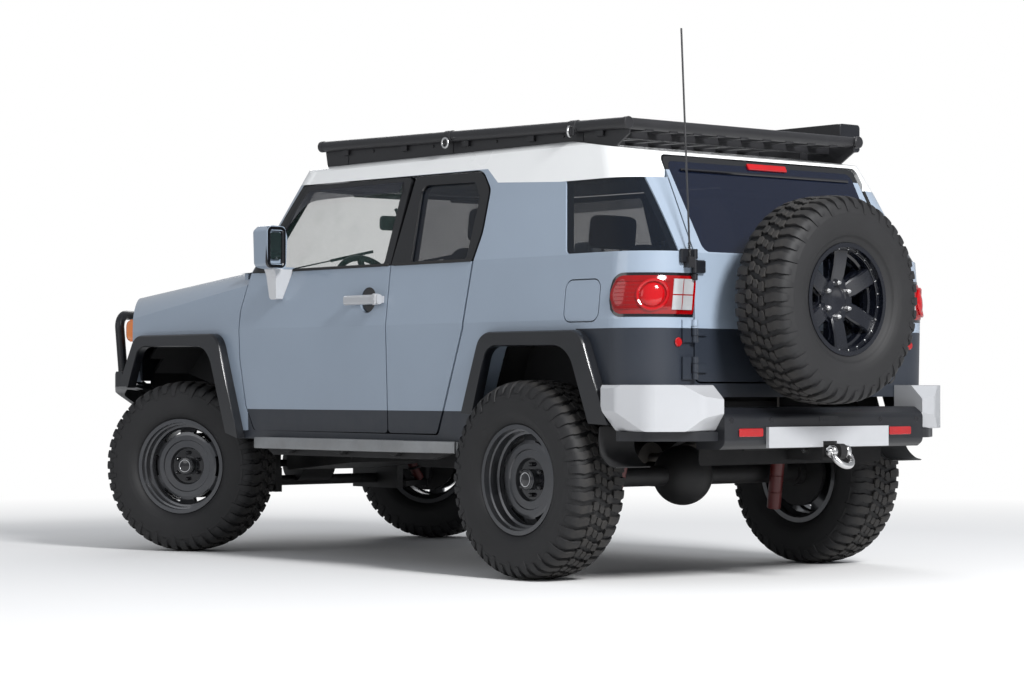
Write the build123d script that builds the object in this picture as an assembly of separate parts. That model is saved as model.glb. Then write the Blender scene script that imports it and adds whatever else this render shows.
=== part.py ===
from build123d import *

import os
from math import cos, radians, sin

# Frame: X to the vehicle's left, Y to its rear, Z up, millimetres.
# The origin is under the middle of the overall length, on the ground.

# Overall sizes and wheels
wheelbase = 2690.0
front_overhang = 892.0
rear_overhang = 1092.0
overall_length = front_overhang + wheelbase + rear_overhang
tyre_radius = 417.0
tyre_width = 292.0
wheel_track_half = 844.0
rim_width = 230.0
rim_lip_radius = 231.0
seat_gap = 0.3
moving_gap = 7.0

front_end = -overall_length / 2
rear_end = overall_length / 2
fa = front_end + front_overhang
ra = fa + wheelbase
axle_z = tyre_radius

# Steering
kingpin_x = 700.0
steer_rest = 28.3

# Body half widths and heights
sill_z = 560.0
waist_z = 1080.0
belt_z = 1349.0
eave_z = 1757.0
roof_top_z = 1880.0
sill_half = 884.0
waist_half = 900.0
belt_half = 870.0
eave_half = 745.0
door_wall = 105.0
rocker_x = 745.0
frame_wall = 45.0
skin_wall = 40.0
flange_depth = 25.0
flange_step = 20.0
rear_edge_z = 762.0

# Body stations along Y, from the axles
nose_y = fa - 560
nose_bulge = 50.0
nose_corner = 150.0
tail_y = rear_end - 397
tail_top_y = tail_y - 215
tail_corner = 200.0
cowl_y = fa + 490
firewall_y = fa + 545
door_split_y = fa + 1733
back_hinge_x = 620.0
back_hinge_y = tail_y + 16
hinge_pin = 7.0
hinge_barrel = 13.0
back_door_half = 605.0
back_door_top_half = 585.0
back_door_low_z = 825.0
back_door_top_z = 1760.0
opening_z = 600.0
bonnet_half = 638.0
bonnet_wall = 32.0

# Spare wheel
spare_x = 90.0
spare_z = 1161.0
spare_y = rear_end - tyre_width / 2
spare_radius = 429.0

nodes = {}


def outline(points, radii=0):
    """Closed face from points, with a fillet radius at each corner."""
    if radii:
        return make_face(FilletPolyline(*points, radius=radii, close=True))
    return make_face(Polyline(*points, close=True))


def side_prism(points, x_low, x_high, radii=0):
    """Outline in (y, z), carried along X."""
    plane = Plane((x_low, 0, 0), x_dir=(0, 1, 0), z_dir=(1, 0, 0))
    return extrude(plane * outline(points, radii), x_high - x_low)


def front_prism(points, y_low, y_high, radii=0):
    """Outline in (x, z), carried along Y."""
    plane = Plane((0, y_high, 0), x_dir=(1, 0, 0), z_dir=(0, -1, 0))
    return extrude(plane * outline(points, radii), y_high - y_low)


def plan_prism(points, z_low, z_high, radii=0):
    """Outline in (x, y), carried along Z."""
    return extrude(Plane((0, 0, z_low)) * outline(points, radii), z_high - z_low)


def block(x_low, x_high, y_low, y_high, z_low, z_high):
    size = (x_high - x_low, y_high - y_low, z_high - z_low)
    centre = ((x_low + x_high) / 2, (y_low + y_high) / 2, (z_low + z_high) / 2)
    return Pos(*centre) * Box(*size)


def rod(points, radius, bend=0):
    """Round bar along straight runs joined by arcs."""
    if len(points) > 2:
        path = FilletPolyline(*points, radius=bend)
    else:
        path = Line(*points)
    start = Plane(origin=path @ 0, z_dir=path % 0)
    return sweep(start * Circle(radius), path=path)


def mirrored(shape):
    return shape.mirror(Plane.YZ)


def both(shape):
    return [shape, mirrored(shape)]


def solids_of(shapes):
    found = []
    for shape in shapes if isinstance(shapes, (list, tuple)) else [shapes]:
        found.extend(shape.solids())
    return found


def add(name, shapes):
    nodes[name] = solids_of(shapes)


def ring(z, half, front_x, front_y, front_mid_y, shoulder_y, back_y, corner):
    """Plan outline of the body at height z, from lines and arcs."""
    turn = corner * (1 - cos(radians(45)))
    nose_l = (-front_x, front_y)
    nose_r = (front_x, front_y)
    shoulder_mid = (half - (half - front_x) * 0.29, front_y + (shoulder_y - front_y) * 0.29)
    edges = [ThreePointArc(nose_l, (0, front_mid_y), nose_r)]
    edges.append(ThreePointArc(nose_r, shoulder_mid, (half, shoulder_y)))
    edges.append(Line((half, shoulder_y), (half, back_y - corner)))
    right_end = (half - corner, back_y)
    edges.append(ThreePointArc((half, back_y - corner), (half - turn, back_y - turn), right_end))
    edges.append(Line(right_end, (-half + corner, back_y)))
    left_end = (-half, back_y - corner)
    edges.append(ThreePointArc((-half + corner, back_y), (-half + turn, back_y - turn), left_end))
    edges.append(Line(left_end, (-half, shoulder_y)))
    edges.append(ThreePointArc((-half, shoulder_y), (-shoulder_mid[0], shoulder_mid[1]), nose_l))
    return Pos(0, 0, z) * Wire([edge.edge() for edge in edges])


def lower_ring(z, half, inset):
    return ring(
        z,
        half - inset,
        waist_half - nose_corner,
        nose_y + inset,
        nose_y - nose_bulge + inset,
        nose_y + nose_corner + inset,
        tail_y - inset,
        tail_corner - inset,
    )


def lower_body(inset, top_z=belt_z):
    """Body below the belt, from the nose to the tail."""
    grow = inset / 20
    share = (top_z - waist_z) / (belt_z - waist_z)
    sections = [
        lower_ring(sill_z - grow, sill_half, inset),
        lower_ring(waist_z, waist_half, inset),
        lower_ring(top_z + grow, waist_half + (belt_half - waist_half) * share, inset),
    ]
    return Solid.make_loft(sections, ruled=True)


def mix(low, high, share):
    return low + (high - low) * share


def cab_ring(z, inset):
    share = (z - belt_z) / (eave_z - belt_z)
    return ring(
        z,
        mix(belt_half, eave_half, share) - inset,
        mix(800, 690, share) - inset,
        mix(fa + 572, fa + 808, share) + inset,
        mix(fa + 445, fa + 705, share) + inset,
        mix(fa + 720, fa + 940, share) + inset,
        mix(tail_y, tail_top_y, share) - inset,
        mix(tail_corner, tail_corner - 10, share) - inset,
    )


def cab(inset, z_low=belt_z, z_high=eave_z):
    """Body above the belt: walls that lean in, between two plan outlines."""
    return Solid.make_loft([cab_ring(z_low, inset), cab_ring(z_high, inset)], ruled=True)


def roof_form(drop):
    """Roof crown: a cross section carried along Y, cut by a side outline."""
    edge_x = eave_half + 40
    top = roof_top_z - drop
    side = top - 28
    shoulder_x = 640.0
    section = [
        Line((-edge_x, 1500), (edge_x, 1500)),
        Line((edge_x, 1500), (edge_x, side - 160)),
        ThreePointArc((edge_x, side - 160), (735, side - 42), (shoulder_x, side)),
        ThreePointArc((shoulder_x, side), (0, top), (-shoulder_x, side)),
        ThreePointArc((-shoulder_x, side), (-735, side - 42), (-edge_x, side - 160)),
        Line((-edge_x, side - 160), (-edge_x, 1500)),
    ]
    plane = Plane((0, tail_y, 0), x_dir=(1, 0, 0), z_dir=(0, -1, 0))
    face = plane * make_face(Wire([edge.edge() for edge in section]))
    crown = extrude(face, tail_y - fa)
    profile = [
        (fa + 600, 1500),
        (fa + 600, 1742 - drop),
        (fa + 940, top - 2),
        (ra - 400, top + 2),
        (ra + 40, 1842 - drop),
        (tail_top_y + 30, 1772 - drop),
        (tail_top_y + 30, 1500),
    ]
    cut = side_prism(profile, -edge_x - 10, edge_x + 10, (0, 0, 260, 900, 500, 0, 0))
    return crown & cut


def bonnet_form(drop, inset):
    """Top of the engine bay: shoulders and crown carried along a rising line."""
    sections = []
    for y, height, shoulder_x, shoulder_drop, wall_drop in (
        (nose_y - 120, 1226, 850, 52, 190),
        (fa + 640, 1359, 872, 62, 128),
    ):
        s = height - drop
        edge = waist_half + 15
        inner_x = bonnet_half + 3
        line = [
            Line((-edge, 400), (edge, 400)),
            Line((edge, 400), (edge, s - wall_drop)),
            ThreePointArc((edge, s - wall_drop), (shoulder_x, s - shoulder_drop), (inner_x, s + 28)),
            ThreePointArc((inner_x, s + 28), (0, s + 70), (-inner_x, s + 28)),
            ThreePointArc((-inner_x, s + 28), (-shoulder_x, s - shoulder_drop), (-edge, s - wall_drop)),
            Line((-edge, s - wall_drop), (-edge, 400)),
        ]
        wire = Plane((0, y, 0), x_dir=(1, 0, 0), z_dir=(0, -1, 0)) * Wire([e.edge() for e in line])
        sections.append(wire)
    top = Solid.make_loft(sections, ruled=True)
    nose = [
        (nose_y - nose_bulge - 20 + inset, 400),
        (nose_y - nose_bulge - 20 + inset, 1292 - drop),
        (fa + 700, 1292 - drop + 200),
        (fa + 700, 400),
    ]
    return top & side_prism(nose, -1000, 1000, (0, 130, 0, 0))


def door_front_line(gap):
    """Front edge of the front door in (y, z); a gap moves it forward."""
    return [
        (fa + 690 - gap, 600),
        (fa + 628 - gap, 715),
        (fa + 586 - gap, 940),
        (fa + 584 - gap, 1170),
        (fa + 642 - gap, belt_z - 8),
    ]


def door_outline(gap, low_z):
    """Outline of both side doors together."""
    points = [(y, max(z, low_z) if z < 650 else z) for y, z in door_front_line(gap)]
    points.append((fa + 905 - gap, 1752 + gap))
    points.append((ra - 470, 1742 + gap))
    points.append((ra - 392 + gap, 1660))
    points.append((ra - 376 + gap, 1470))
    points.append((ra - 396 + gap, belt_z))
    points.append((ra - 430 + gap, 1060))
    points.append((ra - 575 + gap, 700))
    points.append((ra - 618 + gap, low_z))
    return points


door_radii = (25, 80, 120, 120, 90, 26, 95, 60, 200, 200, 100, 60, 25)

lower_outer = lower_body(0)
lower_flange = lower_body(flange_depth)
lower_inner = lower_body(door_wall)
cab_outer = cab(0)
cab_flange = cab(flange_depth, belt_z - 1, eave_z + 1)
cab_inner = cab(frame_wall, belt_z - 1, eave_z + 1)
cab_low = block(-1000, 1000, firewall_y, tail_y + 50, sill_z - 40, belt_z)
lower_wall = (lower_outer & cab_low) - lower_inner
cab_wall = cab_outer - cab_inner

# Roof panel: everything above this line, in (y, z)
quarter_top_z = 1665.0
roof_line = [
    (fa + 600, 1760),
    (ra - 440, 1751),
    (ra - 350, 1686),
    (ra + 60, quarter_top_z),
    (tail_y + 60, quarter_top_z),
    (tail_y + 60, 2000),
    (fa + 600, 2000),
]
roof_shell = (roof_form(0) & cab(0, 1640, 1900)) - (roof_form(34) & cab(frame_wall, 1639, 1901))
roof_zone = side_prism(roof_line, -1000, 1000)
back_opening = [
    (-back_door_half - moving_gap, back_door_low_z - moving_gap),
    (back_door_half + moving_gap, back_door_low_z - moving_gap),
    (back_door_half + moving_gap, belt_z),
    (back_door_top_half + moving_gap, back_door_top_z + 6),
    (-back_door_top_half - 20, back_door_top_z + 6),
    (-back_door_half - moving_gap, belt_z),
]
back_cut = front_prism(back_opening, ra + 300, tail_y + 60, (40, 40, 0, 30, 30, 0))
add("roof_panel", (roof_shell & roof_zone) - back_cut)

# Windscreen and quarter windows
screen_outline = [(-775, 1372), (775, 1372), (672, 1742), (-672, 1742)]
screen_cut = front_prism(screen_outline, fa + 300, fa + 880, 45)
screen_small = [(-774, 1373), (774, 1373), (671.3, 1741), (-671.3, 1741)]
glass_layer = cab(6, belt_z - 1, 1790) - cab(12, belt_z - 2, 1791)
add("windscreen", glass_layer & front_prism(screen_small, fa + 300, fa + 880, 45))

quarter_line = [(ra + 97, 1672), (ra + 206, 1353), (tail_y + 50, 1353), (tail_y + 50, 1672)]
quarter_cut = side_prism(quarter_line, 690, 1000, (0, 28, 0, 0))
quarter_small = [(ra + 100.4, 1664.4), (ra + 207, 1353.8), (tail_y + 50, 1353.8), (tail_y + 50, 1664.4)]
quarter_glass = glass_layer & side_prism(quarter_small, 691, 1000, (0, 28, 0, 0))
add("quarter_glass", both(quarter_glass))

# Door outlines in (y, z), each with its stepped inner edge and its window
split_top = door_split_y - 12
split_shift = -15.0


def split_edge(shift, low_z):
    """Line between the side doors from the belt down, moved along Y."""
    y = door_split_y + split_shift + shift
    return [(y, belt_z), (y, low_z)]


front_line = door_front_line(0)
front_line += [(fa + 905, 1752), (split_top, 1746)] + split_edge(0, 600)
front_radii = (25, 80, 120, 120, 90, 26, 20, 0, 20)
front_inner = [(y + flange_step, z) for y, z in door_front_line(0)]
front_inner[0] = (fa + 700, 620)
front_inner += [(fa + 922, 1735), (split_top - 20, 1730)] + split_edge(-19, 620)
front_window = [
    (fa + 722, 1352),
    (fa + 940, 1724),
    (door_split_y - 62, 1727),
    (door_split_y - 62, 1352),
]
front_window_radii = (30, 30, 30, 20)
rear_line = split_edge(7, 600)[::-1] + [
    (door_split_y + 20, 1746),
    (ra - 470, 1740),
    (ra - 398, 1660),
    (ra - 382, 1470),
    (ra - 402, belt_z),
    (ra - 436, 1060),
    (ra - 581, 700),
    (ra - 624, 600),
]
rear_radii = (20, 0, 20, 88, 60, 200, 200, 100, 60, 20)
rear_inner = split_edge(33, 620)[::-1] + [
    (door_split_y + 46, 1728),
    (ra - 486, 1722),
    (ra - 418, 1655),
    (ra - 402, 1470),
    (ra - 422, belt_z),
    (ra - 456, 1065),
    (ra - 600, 715),
    (ra - 638, 620),
]
rear_window = [
    (door_split_y + 127, 1352),
    (door_split_y + 76, 1704),
    (ra - 508, 1698),
    (ra - 448, 1628),
    (ra - 443, 1352),
]
rear_window_radii = (24, 36, 36, 60, 24)


def grown(line, radii, amount):
    """Outline in (y, z) widened by a clearance and carried through the door wall."""
    plane = Plane((700, 0, 0), x_dir=(0, 1, 0), z_dir=(1, 0, 0))
    return extrude(plane * offset(outline(line, radii), amount=amount), 300)


# Body shell, with a leaf for each door hinge
back_hinge_heights = (880.0, 1030.0)
front_leaf = block(798, 836, fa + 560, fa + 650, 1170, 1240) + block(798, 836, fa + 560, fa + 650, 860, 930)
front_leaf = front_leaf - grown(front_inner, front_radii, seat_gap)
rear_leaf = block(798, 836, ra - 480, ra - 378, 1160, 1220) + block(798, 836, ra - 490, ra - 415, 1010, 1060)
rear_leaf = rear_leaf - grown(rear_inner, rear_radii, seat_gap)
door_gap_cut = side_prism(door_outline(moving_gap, opening_z - 6), 300, 1000, door_radii)
upper_shell = cab_wall - roof_zone - screen_cut - back_cut
lower_shell = lower_wall - back_cut
rear_arch = [(ra - 462, 500), (ra - 250, 1012), (ra + 340, 1012), (ra + 548, 500)]
rear_arch_cut = side_prism(rear_arch, 600, 1000, (0, 110, 110, 0))
hinge_post = side_prism(
    [(fa + 560, 600), (fa + 545, 1349), (fa + 572, 1349), (fa + 572, 600)], 780, 840
)
flap_y = ra + 330
flap_z = 1157.0
flap_size = 206.0
flap_gap = 5.5
flap_hole = Pos(0, flap_y, flap_z) * Rot(0, 90, 0) * extrude(
    RectangleRounded(168 + 2 * flap_gap, flap_size + 2 * flap_gap, 43.5), 1000
)
lamp_zone = [(ra + 500, 1089), (ra + 500, 1262), (tail_y + 60, 1262), (tail_y + 60, 1089)]
lamp_cut = side_prism(lamp_zone, 614, 1000, (60, 60, 0, 0))
shell = upper_shell + lower_shell
for cut in (door_gap_cut, quarter_cut, rear_arch_cut, lamp_cut & lower_body(-5) - lower_body(40)):
    shell = shell - cut - mirrored(cut)
flap_pocket = flap_hole & (lower_outer - lower_flange)
filler = Pos(0, flap_y, flap_z) * Rot(0, 90, 0) * extrude(Circle(34), 1000)
flap_stop = filler & (lower_body(8 + seat_gap) - lower_body(flange_depth + 4))
shell = shell - flap_pocket
sill_line = [(firewall_y, 560), (firewall_y, 593), (ra - 500, 593), (ra - 490, 560)]
rocker_line = [(firewall_y, 560), (firewall_y, 667), (ra - 590, 667), (ra - 580, 560)]
sill = side_prism(sill_line, 760, sill_half - 1) + side_prism(rocker_line, rocker_x, rocker_x + 25)
post_foot = block(rocker_x, 840, firewall_y, firewall_y + 27, 560, 610)
sill = sill + post_foot
front_cab_cut = block(-1000, 1000, firewall_y - 400, fa + 640, sill_z - 60, belt_z - 0.01)
rear_low_cut = block(-1000, 1000, ra + 200, tail_y + 60, sill_z - 60, rear_edge_z)
shell = shell - front_cab_cut - rear_low_cut
for side in both(hinge_post + sill):
    shell = shell + side
for side in both(front_leaf):
    shell = shell + side
for side in both(rear_leaf):
    shell = shell + side
for z in back_hinge_heights:
    shell = shell + Pos(back_hinge_x, back_hinge_y, z - 46) * extrude(Circle(hinge_pin), 92)
    leaf = block(back_hinge_x, back_hinge_x + 62, tail_y - 4, tail_y + 10, z - 46, z + 46)
    barrel = Pos(back_hinge_x, back_hinge_y, z - 46) * extrude(Circle(hinge_barrel), 92)
    room = block(back_hinge_x - 40, back_hinge_x + 16, tail_y - 10, tail_y + 60, z - 20.5, z + 20.5)
    shell = shell + ((leaf + barrel) - room)
shell = shell + flap_stop
add("body_shell", shell)

# Tail lamps and fuel flap
lamp_small = [(ra + 501, 1090), (ra + 501, 1261), (tail_y + 60, 1261), (tail_y + 60, 1090)]
lamp = (lower_body(1) - lower_body(39)) & side_prism(lamp_small, 615, 1000, (59, 59, 0, 0))
add("tail_lamps", both(lamp))
flap = Pos(0, flap_y, flap_z) * Rot(0, 90, 0) * extrude(RectangleRounded(168, flap_size, 38), 1000)
add("fuel_flap", flap & (lower_body(0) - lower_body(8)))

# Fenders, bonnet and grille panel
front_top_z = 1480.0
front_form = (lower_body(0, front_top_z) & bonnet_form(0, 0)) - cab(-0.5, belt_z - 1, eave_z)
front_hollow = lower_body(skin_wall, front_top_z) & bonnet_form(skin_wall, skin_wall)
fender_line = [(fa - 700, 560)]
fender_line += door_front_line(moving_gap)
fender_line += [(fa + 642 - moving_gap, 1348), (fa + 642 - moving_gap, 1500), (fa - 700, 1500)]
fender_zone = side_prism(fender_line, bonnet_half + 5, 1000, (0, 20, 80, 120, 120, 0, 0, 0, 0))
front_arch = [(fa - 700, 500), (fa - 455, 800), (fa - 292, 1032), (fa + 425, 1032), (fa + 600, 500)]
front_arch_cut = side_prism(front_arch, 400, 1000, (0, 0, 110, 110, 0))
grille_top = 1190.0
grille_half = 790.0
grille_cut = front_prism(
    [(-grille_half, 830), (grille_half, 830), (grille_half, grille_top), (-grille_half, grille_top)],
    nose_y - 200,
    nose_y + 95,
    30,
)


def nose_wedge(shift):
    """Room cut off the front corner of the body, in plan; a shift moves its slanted face back."""
    ahead = nose_y - 300
    line = [(718, ahead), (1000, ahead), (1000, nose_y + 323 + shift), (718, nose_y - 7 + shift)]
    return plan_prism(line, 500, 1500)


fender = ((front_form - nose_wedge(0)) - (front_hollow - nose_wedge(skin_wall))) & fender_zone
fender = fender - front_arch_cut - grille_cut - block(0, 1000, fa - 900, fa - 100, 300, 830)
post_room = block(700, 840 + seat_gap, firewall_y - seat_gap, fa + 700, 1200, belt_z + seat_gap)
fender = fender - post_room
add("front_fenders", both(fender))

bonnet_rear = [
    Line((-bonnet_half, fa - 700), (bonnet_half, fa - 700)),
    Line((bonnet_half, fa - 700), (bonnet_half, cowl_y)),
    ThreePointArc((bonnet_half, cowl_y), (0, cowl_y - 120), (-bonnet_half, cowl_y)),
    Line((-bonnet_half, cowl_y), (-bonnet_half, fa - 700)),
]
bonnet_zone = extrude(Pos(0, 0, grille_top + 6) * make_face(Wire([e.edge() for e in bonnet_rear])), 400)
bonnet_hollow = lower_body(bonnet_wall, front_top_z) & bonnet_form(bonnet_wall, bonnet_wall)
bonnet_shell = front_form - bonnet_hollow
add("bonnet", bonnet_shell & bonnet_zone)

# Cowl between the bonnet and the windscreen
cowl_zone = extrude(
    Pos(0, 0, 1286)
    * make_face(
        Wire(
            [
                e.edge()
                for e in (
                    ThreePointArc((-700, cowl_y + 8), (0, cowl_y - 112), (700, cowl_y + 8)),
                    Line((700, cowl_y + 8), (700, fa + 560)),
                    ThreePointArc((700, fa + 560), (0, fa + 436), (-700, fa + 560)),
                    Line((-700, fa + 560), (-700, cowl_y + 8)),
                )
            ]
        )
    ),
    40,
)
cowl = cowl_zone & block(-637, 637, fa, fa + 700, 1200, 1400)

# Grille panel with round lamps
grille_form = lower_outer & grille_cut
grille_body = grille_form & block(-1000, 1000, nose_y - 100, nose_y + 90, 835, grille_top - 2)
grille_body = grille_body & block(-grille_half + 1, grille_half - 1, nose_y - 100, nose_y + 90, 800, 1300)
head_lamps = ((560.0, 1040.0, 92.0),)
grille = grille_body - (lower_body(30) & block(-700, 700, nose_y - 100, nose_y + 100, 500, 1300))
grille_window = front_prism(
    [(-430, 960), (430, 960), (430, 1120), (-430, 1120)], nose_y - 200, nose_y + 200, 40
)
grille = grille - grille_window
for x, z, radius in head_lamps:
    hole = Pos(x, nose_y, z) * Rot(90, 0, 0) * Cylinder(radius, 400)
    grille = grille - hole - mirrored(hole)
for row in range(3):
    z = 985 + row * 50
    bar = (lower_body(6) - lower_body(24)) & block(-431, 431, nose_y - 100, nose_y + 60, z, z + 16)
    grille = grille + bar
corner_lamp_zone = block(700, 800, nose_y - 100, nose_y + 72, 1036, 1150)
for side in both(corner_lamp_zone + nose_wedge(0)):
    grille = grille - side
for x in (-500, 500):
    grille = grille + Pos(x, nose_y - 12, grille_top - 20) * extrude(Circle(9), 26 - seat_gap)
add("grille_panel", grille)

lamps = []
for x, z, radius in head_lamps:
    glass = Pos(x, nose_y, z) * Rot(90, 0, 0) * Cylinder(radius - 0.6, 400)
    lamps += both(glass & (lower_body(2) - lower_body(60)))
corner = block(700.5, 789.5, nose_y - 100, nose_y + 71.5, 1036.5, 1149.5) & lower_body(0)
lamps += both(fillet(corner.edges().filter_by(Axis.Z).sort_by(Axis.X)[-1:], 12))
add("front_lamps", lamps)

# Floor, firewall, inner walls
floor_z = 645.0
rear_floor_z = 775.0
floor_plate = 22.0
riser_y = ra - 590
floor = block(-rocker_x, rocker_x, firewall_y, riser_y, floor_z, floor_z + floor_plate)
floor = floor + block(-760, 760, firewall_y, firewall_y + 20, floor_z, 1290)
floor = floor + block(-636, 636, firewall_y, firewall_y + 20, 1280, 1320)
floor = floor + block(-rocker_x, rocker_x, riser_y - 22, riser_y, floor_z, rear_floor_z + floor_plate)
rear_floor_half = 633.7
rear_floor_end = tail_y - door_wall - 1
floor = floor + block(
    -rear_floor_half, rear_floor_half, riser_y - 22, rear_floor_end, rear_floor_z, rear_floor_z + floor_plate
)
floor = floor + block(-rocker_x, rocker_x, riser_y - 22, ra - 440, rear_floor_z, rear_floor_z + floor_plate)
floor = floor + block(-637, 637, fa + 425, firewall_y + 5, 1300, 1312)
tunnel = block(-170, 170, firewall_y, riser_y, floor_z, floor_z + 140)
tunnel_hollow = block(-150, 150, firewall_y - 10, riser_y + 10, floor_z - 10, floor_z + 120)
floor = floor + tunnel - tunnel_hollow
floor = floor + cowl

# Wheel arch liners
liners = []
front_liner_out = [(fa - 500, 880), (fa - 310, 1030), (fa + 486, 1030), (fa + 640, 600)]
front_liner_in = [(fa - 510, 850), (fa - 303, 1018), (fa + 477, 1018), (fa + 635, 560)]
rear_liner_out = [(ra - 430, 600), (ra - 268, 1006), (ra + 358, 1006), (ra + 500, 600)]
rear_liner_in = [(ra - 422, 590), (ra - 260, 994), (ra + 350, 994), (ra + 492, 590)]
front_room = side_prism(front_liner_out, 469, 776, (0, 110, 110, 0))
rear_room = side_prism(rear_liner_out, rear_floor_half, 780, (0, 110, 110, 0))
for room in (front_room, rear_room):
    floor = floor - room - mirrored(room)
add("floor_pan", floor)
front_wrap = side_prism(front_liner_out, 470, 775, (0, 110, 110, 0))
front_wrap = front_wrap - side_prism(front_liner_in, 482, 900, (0, 100, 100, 0))
front_wrap = front_wrap - block(400, 484, fa - 700, fa + 700, 500, 700)
front_wrap = front_wrap - block(690, 800, fa - 700, nose_y + 170, 500, 1100)
front_wrap = front_wrap - block(400, 800, fa, fa + 700, 500, 672)
rear_wrap = side_prism(rear_liner_out, 634, 774, (0, 110, 110, 0))
rear_wrap = rear_wrap - side_prism(rear_liner_in, 646, 900, (0, 100, 100, 0))
liners += both(front_wrap)
liners += both(rear_wrap)
add("arch_liners", liners)

# Flares over the wheel arches
flare_x = 950.0
flare_round = 20.0
front_flare_out = [(fa - 418, 820), (fa - 272, 1062), (fa + 450, 1062), (fa + 612, 560)]
front_flare_in = [(fa - 352, 780), (fa - 236, 1004), (fa + 372, 998), (fa + 528, 540)]
rear_flare_out = [(ra - 400, 690), (ra - 266, 1038), (ra + 368, 1038), (ra + 525, 650)]
rear_flare_in = [(ra - 338, 660), (ra - 222, 976), (ra + 292, 972), (ra + 425, 620)]
flares = []
for out_line, in_line in ((front_flare_out, front_flare_in), (rear_flare_out, rear_flare_in)):
    band = side_prism(out_line, 842, flare_x, (0, 90, 90, 0))
    band = band - side_prism(in_line, 800, 1000, (0, 80, 130, 0))
    band = fillet(band.edges().group_by(Axis.X)[-1], flare_round)
    lip = band & lower_body(-46)
    lip = lip - (lower_body(-seat_gap) - nose_wedge(-seat_gap))
    flares += both(lip)
add("arch_flares", flares)

# Side doors
def side_door(line, inner_line, window, window_radii):
    """Door cut from the body walls, with a stepped edge and its window."""
    zone = side_prism(line[0], 300, 1000, line[1])
    inner_zone = side_prism(inner_line[0], 250, 1050, inner_line[1])
    low = (lower_outer - lower_inner) & zone
    high = (cab_outer - cab_inner) & zone
    panel = low + high
    step = (lower_flange & block(250, 1000, fa, ra, 500, belt_z)) + cab_flange
    panel = panel - (step - inner_zone)
    return panel - side_prism(window, 300, 1000, window_radii)


front_door = side_door(
    (front_line, front_radii), (front_inner, front_radii), front_window, front_window_radii
)
rear_door = side_door((rear_line, rear_radii), (rear_inner, rear_radii), rear_window, rear_window_radii)


def pane(window, radii):
    """Glass that fills a window, half a millimetre inside its frame."""
    face = offset(outline(window, radii), amount=-0.5)
    plane = Plane((300, 0, 0), x_dir=(0, 1, 0), z_dir=(1, 0, 0))
    layer = cab(12, belt_z - 1, eave_z + 1) - cab(17, belt_z - 2, eave_z + 2)
    return extrude(plane * face, 700) & layer


front_glass = pane(front_window, front_window_radii)
rear_glass = pane(rear_window, rear_window_radii)

mirror_y = fa + 960
mirror_head = front_prism(
    [(948, 1345), (1050, 1360), (1056, 1530), (1030, 1552), (955, 1548), (940, 1500)],
    mirror_y - 60,
    mirror_y + 70,
    (25, 25, 20, 20, 20, 20),
)
mirror_head = fillet(mirror_head.edges().group_by(Axis.Y)[0], 30)
mirror_head = mirror_head - block(962, 1038, mirror_y + 58, mirror_y + 80, 1374, 1528)
mirror_arm = front_prism(
    [(862, 1214), (922, 1214), (962, 1325), (985, 1362), (862, 1362)], mirror_y - 120, mirror_y + 80
)
mirror_arm = mirror_arm & side_prism(
    [(mirror_y - 96, 1214), (mirror_y - 44, 1214), (mirror_y + 28, 1362), (mirror_y - 56, 1362)],
    850,
    1000,
    (12, 12, 0, 0),
)
mirror_arm = mirror_arm - lower_body(-0.3) - cab(-0.3, belt_z - 2, eave_z)
mirror = mirror_head + mirror_arm
handle_y = door_split_y - 155
handle_z = 1195.0
grip = block(904, 934, handle_y - 124, handle_y + 124, handle_z - 22, handle_z + 22)
grip = fillet(grip.edges().filter_by(Axis.Y), 13)
grip = grip - block(880, 918, handle_y - 78, handle_y + 78, handle_z - 40, handle_z + 40)
foot = block(880, 912, handle_y - 118, handle_y - 84, handle_z - 15, handle_z + 15)
foot = foot + block(880, 912, handle_y + 84, handle_y + 118, handle_z - 15, handle_z + 15)
handle = (grip + foot) - lower_body(-0.3)

# Round hollow in the door behind the handle
front_door = front_door - Pos(878, handle_y, handle_z) * Rot(0, 90, 0) * extrude(Circle(58), 100)

for side, place in (("left", lambda shape: shape), ("right", mirrored)):
    add(f"front_door_{side}", place(front_door))
    add(f"front_glass_{side}", place(front_glass))
    add(f"rear_door_{side}", place(rear_door))
    add(f"rear_glass_{side}", place(rear_glass))
    add(f"mirror_{side}", place(mirror))
    add(f"door_handle_{side}", place(handle))

# Back door
back_line = [
    (-back_door_half, back_door_low_z),
    (back_door_half, back_door_low_z),
    (back_door_half, belt_z),
    (back_door_top_half, back_door_top_z),
    (-back_door_top_half + 12, back_door_top_z),
    (-back_door_half, belt_z),
]
back_zone = front_prism(back_line, ra + 300, tail_y + 60, (36, 36, 0, 30, 30, 0))
back_step = [
    (-back_door_half + 22, back_door_low_z + 20),
    (back_door_half - 20, back_door_low_z + 20),
    (back_door_half - 20, belt_z),
    (back_door_top_half - 20, back_door_top_z - 20),
    (-back_door_top_half + 36, back_door_top_z - 20),
    (-back_door_half + 22, belt_z),
]
back_inner_zone = front_prism(back_step, ra + 200, tail_y + 90)
rear_half = block(-1000, 1000, ra + 300, tail_y + 60, 500, 2000)
low = (lower_outer - lower_inner) & rear_half & back_zone
cab_tall = cab(0, belt_z, 1790) - cab(frame_wall, belt_z - 1, 1791)
high = cab_tall & rear_half & back_zone
back_door = low + high
back_layer = (lower_flange & rear_half & block(-1000, 1000, ra, tail_y, 500, belt_z)) + (
    cab(flange_depth, belt_z - 1, 1791) & rear_half
)
back_door = back_door - (back_layer - back_inner_zone)
back_window = [(-535, 1362), (535, 1362), (548, 1700), (-540, 1700)]
back_door = back_door - front_prism(back_window, ra + 200, tail_y + 90, 40)
back_glass_line = [(-548, 1354), (548, 1354), (571, 1738), (-546, 1738)]
back_glass_zone = front_prism(back_glass_line, ra + 200, tail_y + 90, 34)
back_glass = (cab(0, belt_z - 1, 1791) - cab(5, belt_z - 2, 1792)) & back_glass_zone
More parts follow.
